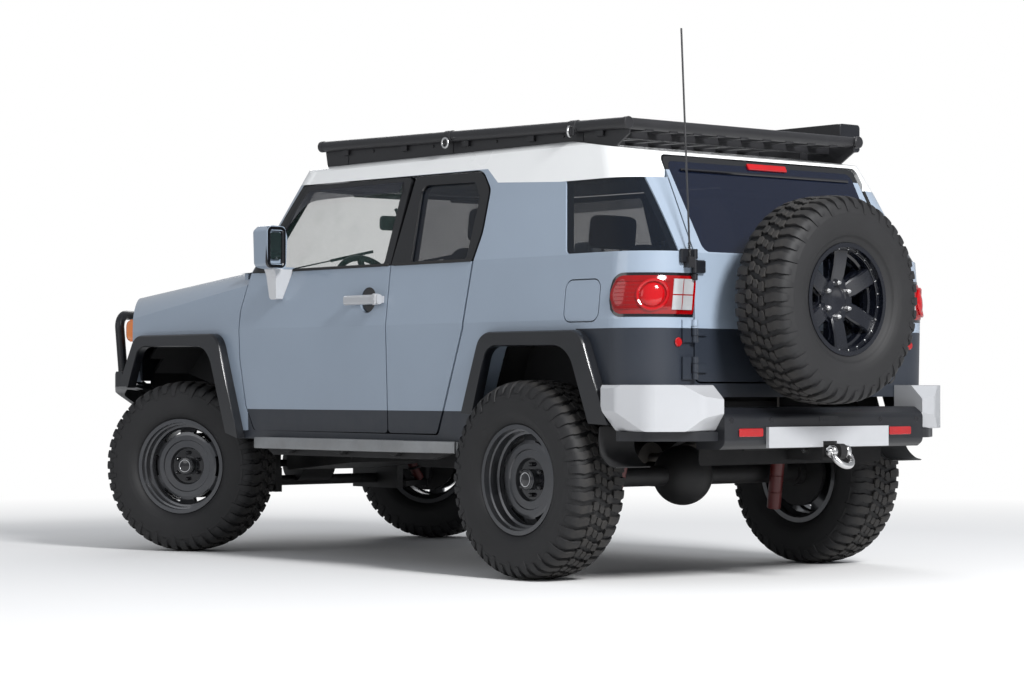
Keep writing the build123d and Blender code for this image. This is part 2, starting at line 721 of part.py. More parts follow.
back_rebate_line = [(x + (seat_gap if x > 0 else -seat_gap), z) for x, z in back_glass_line]
back_rebate_zone = front_prism(back_rebate_line, ra + 200, tail_y + 90, 34)
back_door = back_door - ((cab(-3, belt_z - 1, 1791) - cab(5 + seat_gap, belt_z - 2, 1792)) & back_rebate_zone)
for z in back_hinge_heights:
    leaf = block(back_hinge_x - 78, back_hinge_x, tail_y - 4, tail_y + 10, z - 18, z + 18)
    leaf = leaf - block(back_hinge_x - 15.5, back_hinge_x, tail_y - 5, tail_y + 3, z - 18, z + 18)
    barrel = Pos(back_hinge_x, back_hinge_y, z - 18) * extrude(Circle(hinge_barrel), 36)
    bore = Pos(back_hinge_x, back_hinge_y, z - 20) * extrude(Circle(hinge_pin + seat_gap), 40)
    back_door = back_door + (leaf + barrel - bore)
add("back_door", back_door)
add("back_glass", back_glass)

# Wheels, built upright at the origin with the axle along X
def tyre_form(radius):
    """Tyre section turned about the axle."""
    half = tyre_width / 2
    section = [
        (rim_lip_radius - 13, 106),
        (rim_lip_radius + 6, 107),
        (rim_lip_radius + 50, half - 6),
        (rim_lip_radius + 90, half),
        (radius - 60, half - 6),
        (radius - 18, half - 14),
        (radius, half - 34),
    ]
    points = [(a, r) for r, a in section] + [(-a, r) for r, a in reversed(section)]
    return revolve(outline(points), Axis.X)


def rim_form(slots):
    """Deep rim: barrel, lips and a slotted or spoked centre."""
    lip = rim_width / 2
    bead = rim_lip_radius - 14
    drop = bead - 20
    outer = [(-lip, rim_lip_radius), (-lip + 7, rim_lip_radius), (-lip + 8, bead), (-lip + 40, bead)]
    outer += [(-lip + 55, drop), (lip - 95, drop), (lip - 40, bead), (lip - 8, bead)]
    outer += [(lip - 7, rim_lip_radius), (lip, rim_lip_radius)]
    inner = [(lip, bead - 4), (lip - 24, bead - 6), (lip - 27, bead - 14), (lip - 62, bead - 16)]
    inner += [(lip - 66, bead - 26), (lip - 97, drop - 8), (-lip + 53, drop - 8)]
    inner += [(-lip + 38, bead - 8), (-lip, bead - 8)]
    barrel = revolve(outline(outer + inner), Axis.X)
    disc_in = lip - 100
    disc = revolve(
        outline(
            [
                (disc_in, 46),
                (disc_in, drop - 4),
                (disc_in + 12, drop - 4),
                (disc_in + 30, 166),
                (disc_in + 34, 150),
                (disc_in + 34, 128),
                (disc_in + 28, 124),
                (disc_in + 28, 92),
                (disc_in + 12, 84),
                (disc_in + 12, 46),
            ]
        ),
        Axis.X,
    )
    cutter = Pos(disc_in - 40, 0, 0) * extrude(Plane.YZ * slots, 120)
    return barrel + (disc - cutter)


def slot_ring():
    """Six slots round the outer edge of the wheel centre."""
    band = Circle(181) - Circle(161)
    keep = []
    for step in range(6):
        reach, half_turn = 260, radians(17)
        wedge = Rot(0, 0, step * 60) * make_face(
            Polyline(
                (0, 0),
                (reach * cos(half_turn), -reach * sin(half_turn)),
                (reach * cos(half_turn), reach * sin(half_turn)),
                close=True,
            )
        )
        keep.append(band & wedge)
    face = keep[0]
    for piece in keep[1:]:
        face = face + piece
    return face


def spoke_ring():
    """Six openings between the spokes of the spare wheel."""
    face = None
    for step in range(6):
        hole = Rot(0, 0, step * 60) * make_face(
            FilletPolyline((100, -12), (100, 12), (178, 52), (178, -52), radius=10, close=True)
        )
        face = hole if face is None else face + hole
    return face


hub_cap = Pos(15, 0, 0) * Rot(0, 90, 0) * extrude(Circle(44), 52)
hub_cap = chamfer(hub_cap.edges().sort_by(Axis.X)[-1], 6)
hub_cap = hub_cap + Pos(15, 0, 0) * Rot(0, 90, 0) * extrude(Circle(45.7), 12)
road_rim = rim_form(slot_ring()) + hub_cap
spare_rim_form = rim_form(spoke_ring())
tyre = tyre_form(tyre_radius)

steer_left = Pos(kingpin_x, fa, 0) * Rot(0, 0, steer_rest) * Pos(-kingpin_x, -fa, 0)
steer_right = Pos(-kingpin_x, fa, 0) * Rot(0, 0, steer_rest) * Pos(kingpin_x, -fa, 0)
wheel_places = (
    ("front_left", steer_left * Pos(wheel_track_half, fa, axle_z)),
    ("front_right", steer_right * Pos(-wheel_track_half, fa, axle_z) * Rot(0, 0, 180)),
    ("rear_left", Pos(wheel_track_half, ra, axle_z)),
    ("rear_right", Pos(-wheel_track_half, ra, axle_z) * Rot(0, 0, 180)),
)
for name, place in wheel_places:
    add(f"{name}_rim", place * road_rim)
    add(f"{name}_tyre", place * tyre)
spare_place = Pos(spare_x, spare_y, spare_z) * Rot(0, 0, 90)
add("spare_rim", spare_place * spare_rim_form)
add("spare_tyre", spare_place * tyre_form(spare_radius))
carrier_y = spare_y + rim_width / 2 - 100 - seat_gap
carrier_plate = Pos(spare_x, carrier_y, spare_z) * Rot(90, 0, 0) * extrude(Circle(75), 14)
carrier_frame = block(spare_x - 60, spare_x + 60, tail_y, carrier_y - 10, spare_z - 60, spare_z + 60)
carrier_foot = block(spare_x - 170, spare_x + 170, tail_y, tail_y + 14, spare_z - 150, spare_z + 130)
add("spare_carrier", carrier_plate + carrier_frame + carrier_foot)

# Hubs: knuckles at the front, axle at the rear
hub_face_x = wheel_track_half + rim_width / 2 - 100 - seat_gap
hub = Pos(kingpin_x, fa, axle_z) * Rot(0, 90, 0) * extrude(Circle(58), hub_face_x - kingpin_x)
disc = Pos(kingpin_x + 38, fa, axle_z) * Rot(0, 90, 0) * extrude(Circle(160), 22)
upright = block(kingpin_x - 34, kingpin_x + 34, fa - 36, fa + 36, 318, 560)
upright = fillet(upright.edges().filter_by(Axis.Z), 20)
kingpin = Pos(kingpin_x, fa, 270) * extrude(Circle(12), 350)
caliper = block(kingpin_x + 22, kingpin_x + 76, fa + 90, fa + 158, 360, 480)
steer_arm = block(kingpin_x - 20, kingpin_x + 24, fa + 20, fa + 150, 400, 424)
knuckle = hub + disc + upright + kingpin + caliper + steer_arm
add("knuckle_left", steer_left * knuckle)
add("knuckle_right", steer_right * mirrored(knuckle))

# Chassis frame
rail_plan = [
    (370, front_end + 130),
    (440, front_end + 130),
    (440, fa + 480),
    (510, fa + 740),
    (510, tail_y - 20),
    (435, tail_y - 20),
    (435, fa + 780),
    (370, fa + 510),
]
rail_side = [
    (front_end + 100, 610),
    (fa - 420, 610),
    (fa - 250, 650),
    (fa + 250, 650),
    (fa + 520, 505),
    (ra - 560, 505),
    (ra - 330, 640),
    (ra + 300, 640),
    (ra + 480, 590),
    (tail_y + 20, 590),
    (tail_y + 20, 690),
    (ra + 480, 700),
    (ra + 300, 755),
    (ra - 380, 755),
    (ra - 560, 636),
    (fa + 560, 636),
    (fa + 300, 770),
    (fa - 300, 770),
    (fa - 440, 740),
    (front_end + 100, 740),
]
rail = plan_prism(rail_plan, 480, 800) & side_prism(rail_side, 300, 600)
frame = rail + mirrored(rail)
for y, z_low, z_high, half in (
    (front_end + 190, 630, 720, 380),
    (fa - 60, 655, 715, 380),
    (fa + 620, 505, 540, 420),
    (fa + 1500, 600, 634, 445),
    (ra - 480, 600, 660, 445),
    (ra + 120, 670, 740, 445),
    (tail_y - 80, 600, 680, 445),
):
    frame = frame + block(-half, half, y - 35, y + 35, z_low, z_high)
body_mounts = ((500, fa + 800), (500, ra - 600))
for x, y in body_mounts:
    for side in (x, -x):
        frame = frame + Pos(side, y, 640.35) * Cylinder(34, 8.7)
step_legs = ((fa + 900, 522), (ra - 620, 522))
for y, z in step_legs:
    leg = block(505, 880, y - 22, y + 22, z, z + 28)
    frame = frame + leg + mirrored(leg)
guard_line = [(fa + 110, 385), (fa + 655, 435), (fa + 655, 506), (fa + 110, 500)]
frame = frame + side_prism(guard_line, -280, 280, (20, 0, 0, 20))
add("chassis_frame", frame)

# Engine and gearbox as plain blocks
engine = block(-230, 230, fa - 240, fa + 420, 800, 1190)
gearbox = block(-140, 140, fa + 420.3, fa + 1250, 541, 700)
bell = block(-180, 180, fa + 200, fa + 420, 640, 810)
add("engine_and_gearbox", solids_of(engine + bell) + solids_of(gearbox))

# Front arms, differential and half shafts
arms = []
lower_arm = plan_prism(
    [(400, fa - 170), (430, fa - 190), (690, fa - 34), (724, fa), (690, fa + 34), (430, fa + 190),
     (400, fa + 170), (560, fa)], 288, 316, (8, 8, 30, 20, 30, 8, 8, 20)
)
lower_arm = lower_arm - Pos(kingpin_x, fa, 250) * extrude(Circle(12.3), 100)
upper_arm = plan_prism(
    [(445, fa - 110), (470, fa - 120), (690, fa - 24), (722, fa), (690, fa + 24), (470, fa + 120),
     (445, fa + 110), (560, fa)], 575, 600, (6, 6, 20, 16, 20, 6, 6, 20)
)
upper_arm = upper_arm - Pos(kingpin_x, fa, 550) * extrude(Circle(12.3), 100)
mount_low = block(366, 404, fa - 190, fa + 190, 280, 400)
mount_leg = block(372, 438, fa - 190, fa - 120, 380, 650)
mount_leg2 = block(372, 438, fa + 120, fa + 190, 380, 650)
mount_top = block(438, 452, fa - 190, fa + 190, 570, 650)
front_set = lower_arm + mount_low + mount_leg + mount_leg2
front_set = front_set + upper_arm + mount_top
arms += both(front_set)
diff = Pos(60, fa, axle_z) * Rot(0, 90, 0) * Cylinder(95, 200)
diff = diff + rod([(-366, fa, 330), (366, fa, 330)], 26)
shafts = rod([(150, fa, axle_z), (640, fa, axle_z)], 18) + rod([(-640, fa, axle_z), (0, fa, axle_z)], 18)
arms += [diff + shafts]
add("front_suspension", arms)

# Rear axle
housing = rod([(-700, ra, axle_z), (700, ra, axle_z)], 44)
ball = Pos(0, ra, axle_z) * Sphere(132)
ball = ball + Pos(0, ra - 150, axle_z) * Rot(90, 0, 0) * Cylinder(55, 120)
rear_axle = housing + ball
for sign in (1, -1):
    flange = Pos(sign * 690, ra, axle_z) * Rot(0, 90 * sign, 0) * extrude(Circle(58), hub_face_x - 690)
    rotor = Pos(sign * 730, ra, axle_z) * Rot(0, 90 * sign, 0) * extrude(Circle(155), 20)
    rear_axle = rear_axle + flange + rotor
    rear_axle = rear_axle + block(
        min(sign * 600, sign * 540), max(sign * 600, sign * 540), ra - 60, ra + 60, 400, 480
    )
add("rear_axle", rear_axle)

# Rear springs, dampers and links
rear_parts = []
spring = Pos(570, ra, 480.3) * extrude(Circle(30), 90) + Pos(570, ra, 540) * extrude(Circle(20), 110)
seat_top = block(510, 630, ra - 62, ra + 62, 640, 655)
link = rod([(560, ra - 63, 430), (560, ra - 640, 470)], 22)
link_mount = block(510.3, 590, ra - 670, ra - 630, 440, 521.7)
rear_parts += both(spring + seat_top)
rear_parts += both(link + link_mount)
add("rear_suspension", rear_parts)

# Exhaust, propeller shaft and fuel tank
exhaust = rod(
    [
        (230, fa + 700, 470),
        (300, fa + 1200, 470),
        (330, ra - 500, 470),
        (395, ra - 250, 560),
        (395, ra + 250, 560),
        (450, tail_y - 200, 530),
        (590, tail_y - 90, 515),
    ],
    28,
    90,
)
silencer = Pos(322, ra - 750, 470) * Rot(90, 0, 0) * Cylinder(80, 420)
hangers = rod([(322, ra - 700, 500), (322, ra - 700, 644.7)], 6)
hangers = hangers + rod([(395, ra + 200, 570), (395, ra + 200, 774.7)], 6)
tip_bore = rod([(450 + 126, tail_y - 200 + 99, 516.5), (600, tail_y - 82, 514)], 22)
add("exhaust", mirrored(exhaust + silencer + hangers - tip_bore))
prop = rod([(0, fa + 1255.3, 590), (0, ra - 215.3, axle_z + 6)], 36)
add("propeller_shaft", prop)
tank = block(180, 425, fa + 1350, ra - 520, 430, 600)
tank = fillet(tank.edges().filter_by(Axis.Y), 40)
add("fuel_tank", tank)

# Bumpers
front_bumper_plan = [
    (-770, nose_y + 28),
    (-785, nose_y + 130),
    (-850, nose_y + 130),
    (-842, nose_y - 50),
    (-700, front_end + 60),
    (-480, front_end),
    (480, front_end),
    (700, front_end + 60),
    (842, nose_y - 50),
    (850, nose_y + 130),
    (785, nose_y + 130),
    (770, nose_y + 28),
]
bumper_radii = (0, 0, 20, 60, 80, 80, 80, 80, 60, 20, 0, 0)
front_bumper = plan_prism(front_bumper_plan, 600, 890, bumper_radii)
bumper_side_line = [
    (front_end - 10, 690),
    (front_end - 10, 827),
    (nose_y - 120, 827),
    (nose_y - 40, 884),
    (nose_y + 16, 884),
    (nose_y + 46, 820),
    (nose_y + 150, 812),
    (nose_y + 150, 770),
    (nose_y - 110, 740),
    (front_end + 60, 640),
]
bumper_side_radii = (0, 0, 60, 20, 10, 20, 0, 0, 30, 30)
front_bumper = front_bumper & side_prism(bumper_side_line, -1000, 1000, bumper_side_radii)
bumper_front_line = [
    (-870, 812), (-700, 775), (-430, 640), (430, 640), (700, 775), (870, 812),
    (870, 890), (745, 890), (640, 822), (-640, 822), (-745, 890), (-870, 890),
]
front_bumper = front_bumper & front_prism(
    bumper_front_line, front_end - 10, nose_y + 200, (0, 60, 60, 60, 60, 0, 0, 20, 20, 20, 20, 0)
)
front_bumper = front_bumper - block(-760, 760, nose_y - 62, nose_y + 100, 824, 900)
hollow_plan = [
    (-720, nose_y + 60),
    (-785, nose_y - 26),
    (-668, front_end + 94),
    (-458, front_end + 34),
    (458, front_end + 34),
    (668, front_end + 94),
    (785, nose_y - 26),
    (720, nose_y + 60),
]
front_bumper = front_bumper - plan_prism(hollow_plan, 560, 796, (20, 60, 60, 60, 60, 60, 60, 20))
hoop = rod(
    [
        (430, front_end + 90, 810),
        (430, front_end + 70, 1176),
        (792, nose_y - 96, 1176),
        (780, nose_y - 62, 810),
    ],
    24,
    70,
)
front_bumper = front_bumper + hoop + mirrored(hoop)
cross_bar = rod([(-430, front_end + 74, 1090), (430, front_end + 74, 1090)], 24)
front_bumper = front_bumper + cross_bar
for side in (1, -1):
    x_low, x_high = sorted((side * 366, side * 444))
    bracket = block(x_low, x_high, front_end + 25, front_end + 129.7, 620, 730)
    front_bumper = front_bumper + bracket
add("front_bumper", front_bumper)

rear_bumper_line = [
    (tail_y + 3, 552),
    (tail_y + 3, 721),
    (tail_y + 120, 721),
    (tail_y + 165, 690),
    (tail_y + 165, 572),
    (tail_y + 135, 552),
]
rear_bumper = side_prism(rear_bumper_line, -600, 600, (0, 0, 30, 30, 30, 0))
for side in both(block(440, 505, tail_y - 19.7, tail_y + 20, 600, 680)):
    rear_bumper = rear_bumper + side
strip = block(-362, 362, tail_y + 165.2, tail_y + 182, 556, 641)
strip = strip - block(-42, 42, tail_y + 150, tail_y + 190, 550, 580)
under_plan = [
    (590, tail_y + 3),
    (590, tail_y + 130),
    (700, tail_y + 112),
    (868, tail_y - 8),
    (914, tail_y - 120),
    (914, tail_y - 135),
    (872, tail_y - 135),
    (860, tail_y - 150),
    (800, tail_y - 60),
    (690, tail_y + 3),
]
for side in both(plan_prism(under_plan, 586, 625 - seat_gap, (0, 0, 90, 90, 40, 0, 0, 0, 0, 0))):
    rear_bumper = rear_bumper + side
add("rear_bumper", rear_bumper - block(-40, 40, tail_y - 10, tail_y + 200, 550, 580))
corner_plan = [
    (600.3, tail_y + 3),
    (600.3, tail_y + 163),
    (700, tail_y + 150),
    (890, tail_y + 20),
    (944, tail_y - 110),
    (944, tail_y - 195),
    (903, tail_y - 205),
    (903, tail_y - 200),
    (840, tail_y - 50),
    (700, tail_y + 3),
]
bumper_corner = plan_prism(corner_plan, 625, 812, (0, 0, 90, 110, 60, 0, 0, 0, 0, 0))
corner_side = [
    (ra + 300, 812),
    (tail_y + 100, 812),
    (tail_y + 165, 752),
    (tail_y + 165, 700),
    (tail_y + 110, 625),
    (ra + 300, 625),
]
corner_front = [(560, 812), (934, 812), (946, 796), (944, 704), (896, 625), (560, 625)]
bumper_corner = bumper_corner & side_prism(corner_side, 500, 1000, (0, 16, 16, 20, 16, 0))
bumper_corner = bumper_corner & front_prism(corner_front, ra + 300, tail_y + 200, (0, 6, 6, 24, 16, 0))
bumper_corner = bumper_corner - lower_body(-0.3)
flare_room = side_prism(
    [(ra + 100, 1038), (ra + 374, 1038), (ra + 531, 650), (ra + 552, 600), (ra + 100, 600)],
    800,
    1000,
    (0, 90, 0, 0, 0),
)
bumper_corner = bumper_corner - flare_room
add("bumper_corners", both(bumper_corner) + [strip])

# Hitch receiver and shackle block
receiver = block(-38, 38, tail_y - 45, tail_y + 175, 500, 576)
receiver = receiver - block(-26, 26, tail_y + 20, tail_y + 190, 512, 564)
hitch = receiver + block(-300, 300, tail_y - 70, tail_y - 20, 540, 600)
tongue = block(-25.5, 25.5, tail_y + 40, tail_y + 215, 512.5, 563.5)
eye = block(-18, 18, tail_y + 205, tail_y + 262, 506, 570)
eye = fillet(eye.edges().filter_by(Axis.X).sort_by(Axis.Y)[-2:], 26)
shackle_block = tongue + eye
shackle_hole = Pos(0, tail_y + 232, 538) * Rot(0, 90, 0) * Cylinder(12, 60)
add("tow_hitch", solids_of(hitch) + solids_of(shackle_block - shackle_hole))

# Side steps
step_plan = [
    (884.6, fa + 776),
    (962, fa + 776),
    (962, ra - 800),
    (900, ra - 462),
    (884.6, ra - 462),
]
steps = plan_prism(step_plan, 518, 566, (0, 30, 300, 8, 0))
for y, z in step_legs:
    steps = steps + block(880.3, 925, y - 20, y + 20, z, z + 26)
add("side_steps", both(steps))

# Cabin: dashboard, steering wheel, front chairs and rear bench
dash_line = [
    (firewall_y + 20, 1010),
    (firewall_y + 20, 1330),
    (fa + 700, 1345),
    (fa + 800, 1310),
    (fa + 820, 1230),
    (fa + 760, 1080),
]
dash = side_prism(dash_line, -760, 760, (0, 0, 30, 30, 30, 30))
dash = dash & lower_body(door_wall + 6)
column_end = (370, fa + 900 - 0.276, 1262 - 0.117)
column = rod([(370, fa + 900 - 165.6, 1262 - 70.2), column_end], 28)
add("dashboard", dash + column)
wheel_plane = Plane((370, fa + 900, 1262), x_dir=(1, 0, 0), z_dir=(0, 0.92, 0.39))
steering_ring = wheel_plane * Torus(180, 15)
steering_hub = wheel_plane * extrude(Circle(52), 22)
spokes = wheel_plane * extrude(Rectangle(350, 26), 12)
spokes = spokes + wheel_plane * extrude(Pos(0, -90) * Rectangle(30, 178), 12)
add("steering_wheel", steering_ring + steering_hub + spokes)


def chair(x, width, y, base_z, back_top):
    """One cushion, back and head rest as closed solids."""
    low, high = x - width / 2, x + width / 2
    cushion = side_prism(
        [(y, base_z), (y, base_z + 130), (y + 500, base_z + 110), (y + 500, base_z)],
        low, high, (40, 50, 30, 20),
    )
    back = side_prism(
        [(y + 425, base_z + 60), (y + 560, base_z + 40), (y + 700, back_top), (y + 620, back_top)],
        low, high, (20, 30, 40, 40),
    )
    return cushion, back


chairs = []
for x in (370, -370):
    cushion, back = chair(x, 500, fa + 1150, 860, 1430)
    head = block(x - 130, x + 130, fa + 1790, fa + 1880, 1455, 1620)
    head = fillet(head.edges().filter_by(Axis.X), 30)
    posts = rod([(x - 60, fa + 1810, 1400), (x - 60, fa + 1825, 1480)], 7)
    posts = posts + rod([(x + 60, fa + 1810, 1400), (x + 60, fa + 1825, 1480)], 7)
    base = block(x - 190, x + 190, fa + 1180, fa + 1620, floor_z + floor_plate, 861)
    chairs.append(cushion + back + head + posts + base)
bench_y = ra - 390
cushion, back = chair(0, 1240, bench_y, rear_floor_z + 100, 1400)
bench_base = block(-560, 560, bench_y + 60, bench_y + 460, rear_floor_z + floor_plate, rear_floor_z + 101)
add("cabin_chairs", solids_of(chairs) + solids_of(cushion + back + bench_base))

# Roof rack and awning
rack_front = fa + 978
rack_rear = ra + 405
rack_half = 700.0
rack_z = 1930.0
tube_r = 24.0
rack_fall = 42.0
left_rail = rod([(rack_half, rack_front, rack_z + 6), (rack_half, rack_rear, rack_z + 6 - rack_fall)], tube_r)
rack = left_rail + mirrored(left_rail)
for y, z in ((rack_front + 30, rack_z + 5), (rack_rear - 30, rack_z + 7 - rack_fall)):
    rack = rack + rod([(-rack_half, y, z), (rack_half, y, z)], tube_r)
for index in range(5):
    y = rack_front + 180 + index * (rack_rear - rack_front - 360) / 4
    z = rack_z - 8 - rack_fall * (y - rack_front) / (rack_rear - rack_front)
    rack = rack + block(-rack_half, rack_half, y - 22, y + 22, z - 34, z)
for x in range(-560, 561, 140):
    slat_line = [
        (rack_front + 20, rack_z - 20),
        (rack_front + 20, rack_z),
        (rack_rear - 20, rack_z - rack_fall),
        (rack_rear - 20, rack_z - 20 - rack_fall),
    ]
    rack = rack + side_prism(slat_line, x - 24, x + 24)
for y, low_z in ((rack_front + 150, 1826), (fa + 1900, 1840), (rack_rear - 330, 1820)):
    foot = block(628, 690, y - 40, y + 40, low_z, rack_z - 10)
    rack = rack + foot + mirrored(foot)
for y in (rack_front + 300, rack_rear - 300):
    rack = rack + block(-725, -690, y - 30, y + 30, rack_z - 34, rack_z + 20)
fairing_line = [
    (rack_front + 40, 1780),
    (rack_front + 8, rack_z),
    (rack_rear - 12, rack_z - rack_fall),
    (rack_rear - 12, 1850),
    (rack_rear - 130, 1780),
]
fairing = side_prism(fairing_line, 678, 688)
rack = rack + fairing + mirrored(fairing)
rack = rack - (roof_form(-0.3))
add("roof_rack", rack)
awning = side_prism(
    [
        (rack_front + 60, 1868),
        (rack_front + 60, 1989),
        (rack_rear - 139, 1989),
        (rack_rear - 139, 1868),
    ],
    -860,
    -725.3,
    14,
)
add("awning_case", awning)

# Antenna on a clamp at the left rear corner
antenna = rod([(652, tail_y + 22, 1300), (640, tail_y - 40, 2262)], 4)
clamp = block(634, 668, tail_y + 0.3, tail_y + 34, 1286, 1330)
add("antenna", antenna + clamp)

os.makedirs("parts", exist_ok=True)
for name, solids in nodes.items():
    export_step(Compound(children=solids, label=name), f"parts/{name}.step")
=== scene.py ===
"""Looks of a lifted off-road 4x4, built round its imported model.

Every piece is in metres in the model's frame: X to the vehicle's left, Y to its rear, Z up.
"""

from __future__ import annotations

import logging
import math
from dataclasses import dataclass, field
from enum import Enum

import bpy
import bmesh
import numpy as np
from mathutils import Matrix, Vector

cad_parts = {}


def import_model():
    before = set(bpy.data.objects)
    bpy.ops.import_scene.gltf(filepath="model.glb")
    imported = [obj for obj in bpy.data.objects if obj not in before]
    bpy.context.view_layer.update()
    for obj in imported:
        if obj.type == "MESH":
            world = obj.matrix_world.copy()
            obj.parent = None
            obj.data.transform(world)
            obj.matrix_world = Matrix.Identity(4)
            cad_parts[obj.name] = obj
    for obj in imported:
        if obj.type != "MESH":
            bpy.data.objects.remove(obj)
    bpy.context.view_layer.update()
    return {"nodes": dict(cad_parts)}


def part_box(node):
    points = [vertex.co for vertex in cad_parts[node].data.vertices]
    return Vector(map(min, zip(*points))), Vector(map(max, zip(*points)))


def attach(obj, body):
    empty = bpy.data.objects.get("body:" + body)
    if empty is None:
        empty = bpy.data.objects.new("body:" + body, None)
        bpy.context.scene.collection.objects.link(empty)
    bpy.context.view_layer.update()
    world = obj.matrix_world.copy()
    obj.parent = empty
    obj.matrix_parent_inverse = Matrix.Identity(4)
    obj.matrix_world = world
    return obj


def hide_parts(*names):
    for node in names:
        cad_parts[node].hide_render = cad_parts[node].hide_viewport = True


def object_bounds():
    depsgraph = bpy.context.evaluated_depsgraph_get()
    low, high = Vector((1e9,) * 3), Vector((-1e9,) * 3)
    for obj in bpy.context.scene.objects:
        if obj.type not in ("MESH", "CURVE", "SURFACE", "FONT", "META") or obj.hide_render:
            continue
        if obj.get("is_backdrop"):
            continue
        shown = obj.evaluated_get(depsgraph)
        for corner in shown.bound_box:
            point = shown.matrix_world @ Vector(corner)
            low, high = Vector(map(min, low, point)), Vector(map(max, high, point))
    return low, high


log = logging.getLogger("offroad")
Array = np.ndarray
Colour = tuple[float, float, float]
Point = tuple[float, float, float]
Socket = bpy.types.NodeSocket

# Places shared by several sub-assemblies
FRONT_AXLE_Y = -1.445
REAR_AXLE_Y = 1.245
AXLE_Z = 0.417
TYRE_RADIUS = 0.417
TYRE_HALF = 0.146
TAIL_Y = 1.940
TAIL_LEAN = 0.215
TAIL_CORNER = 0.200
SILL_Z = 0.560
WAIST_Z = 1.080
BELT_Z = 1.349
EAVE_Z = 1.757
SILL_HALF = 0.884
WAIST_HALF = 0.900
BELT_HALF = 0.870
EAVE_HALF = 0.745
VEHICLE = "vehicle"
BACK_DOOR = "back_door_body"

# Directions
LEFTWARD = (1, 0, 0)
FORWARD = (0, -1, 0)
REARWARD = (0, 1, 0)
UP = (0, 0, 1)


class Side(Enum):
    """A side of the vehicle, valued by the sign of its X."""

    LEFT = 1
    RIGHT = -1

    @property
    def word(self) -> str:
        """The side's name in piece names."""
        return self.name.lower()


# Arrays of points


def grid_quads(rows: int, cols: int, round_cols: bool = False, round_rows: bool = False) -> Array:
    """Quads between neighbouring rows and columns of a grid of points.

    Args:
        rows: Number of rows.
        cols: Number of columns.
        round_cols: Join the last column to the first.
        round_rows: Join the last row to the first.

    Returns:
        Point numbers, four to a face.
    """
    row = np.arange(rows if round_rows else rows - 1)[:, None]
    col = np.arange(cols if round_cols else cols - 1)[None, :]
    next_row = (row + 1) % rows
    next_col = (col + 1) % cols
    corners = (row * cols + col, row * cols + next_col, next_row * cols + next_col, next_row * cols + col)
    return np.stack(corners, axis=-1).reshape(-1, 4)


def smooth_line(points: list[tuple[float, ...]] | Array, per_span: int = 6) -> Array:
    """Catmull-Rom line: each span is a cubic whose end slopes are half its neighbours' difference.

    Args:
        points: Points that the line passes through.
        per_span: Number of steps on each span.

    Returns:
        Points along the line, first and last included.
    """
    p = np.asarray(points, float)
    padded = np.vstack([2 * p[0] - p[1], p, 2 * p[-1] - p[-2]])
    t = np.linspace(0, 1, per_span, endpoint=False)[None, :, None]
    a, b, c, d = (padded[i : len(p) - 1 + i, None, :] for i in range(4))
    line = 0.5 * (2 * b + (c - a) * t + (2 * a - 5 * b + 4 * c - d) * t**2 + (3 * b - a - 3 * c + d) * t**3)
    return np.vstack([line.reshape(-1, p.shape[1]), p[-1:]])


def round_path(points: list[tuple[float, float, float]], radius: float, steps: int = 6) -> Array:
    """Straight runs whose corners are quadratic bends: a bend leaves each run a radius before its corner.

    Args:
        points: Corners of the path.
        radius: Length of run that each bend takes.
        steps: Points on each bend.

    Returns:
        Points along the path.
    """
    p = np.asarray(points, float)
    rows = [p[:1]]
    t = np.linspace(0, 1, steps)[:, None]
    for before, corner, after in zip(p[:-2], p[1:-1], p[2:]):
        reach_in = min(radius, 0.48 * np.linalg.norm(before - corner))
        reach_out = min(radius, 0.48 * np.linalg.norm(after - corner))
        start = corner + (before - corner) / np.linalg.norm(before - corner) * reach_in
        end = corner + (after - corner) / np.linalg.norm(after - corner) * reach_out
        rows.append((1 - t) ** 2 * start + 2 * t * (1 - t) * corner + t**2 * end)
    rows.append(p[-1:])
    return np.vstack(rows)


def full_turn(steps: int) -> Array:
    """Even angles round a full turn, the last a step short of the first."""
    return np.linspace(0, 2 * math.pi, steps, endpoint=False)


def circle(radius: float, sides: int = 16) -> Array:
    """Points (radius cos a, radius sin a) at even angles."""
    a = full_turn(sides)
    return np.stack([radius * np.cos(a), radius * np.sin(a)], axis=1)


def round_rect(width: float, height: float, radius: float, steps: int = 5) -> Array:
    """Outline of a rectangle whose corners are quarter circles, turning the way of the angle.

    Args:
        width: Size along X.
        height: Size along Y.
        radius: Radius of the corners.
        steps: Points on each corner.

    Returns:
        The outline, one point to a row.
    """
    a = np.linspace(0, math.pi / 2, steps)
    corner = np.stack([np.cos(a), np.sin(a)], axis=1) * radius
    quarters = []
    for turn, (sx, sy) in enumerate(((1, 1), (-1, 1), (-1, -1), (1, -1))):
        c, s = math.cos(turn * math.pi / 2), math.sin(turn * math.pi / 2)
        turned = corner @ np.array([[c, s], [-s, c]])
        quarters.append(turned + (sx * (width / 2 - radius), sy * (height / 2 - radius)))
    return np.vstack(quarters)


def inset(outline: Array, amount: float) -> Array:
    """Outline moved inwards: each point goes along the mean of its two edges' inward normals.

    Args:
        outline: Closed outline as (x, y) pairs.
        amount: Distance between the edges; outwards where it is negative.

    Returns:
        The moved outline.
    """
    before = outline - np.roll(outline, 1, axis=0)
    after = np.roll(outline, -1, axis=0) - outline
    normals = []
    for edge in (before, after):
        length = np.maximum(np.linalg.norm(edge, axis=1, keepdims=True), 1e-9)
        normals.append(np.stack([-edge[:, 1], edge[:, 0]], axis=1) / length)
    mean = normals[0] + normals[1]
    scale = np.maximum((mean * normals[0]).sum(axis=1, keepdims=True), 0.35)
    return outline + mean / scale * amount


def stacked(steps: list[tuple[Array, float]]) -> Array:
    """Flat outlines with as many points each, lifted to their heights: ring k holds (x, y, height k)."""
    return np.stack([np.column_stack([outline, np.full(len(outline), height)]) for outline, height in steps])


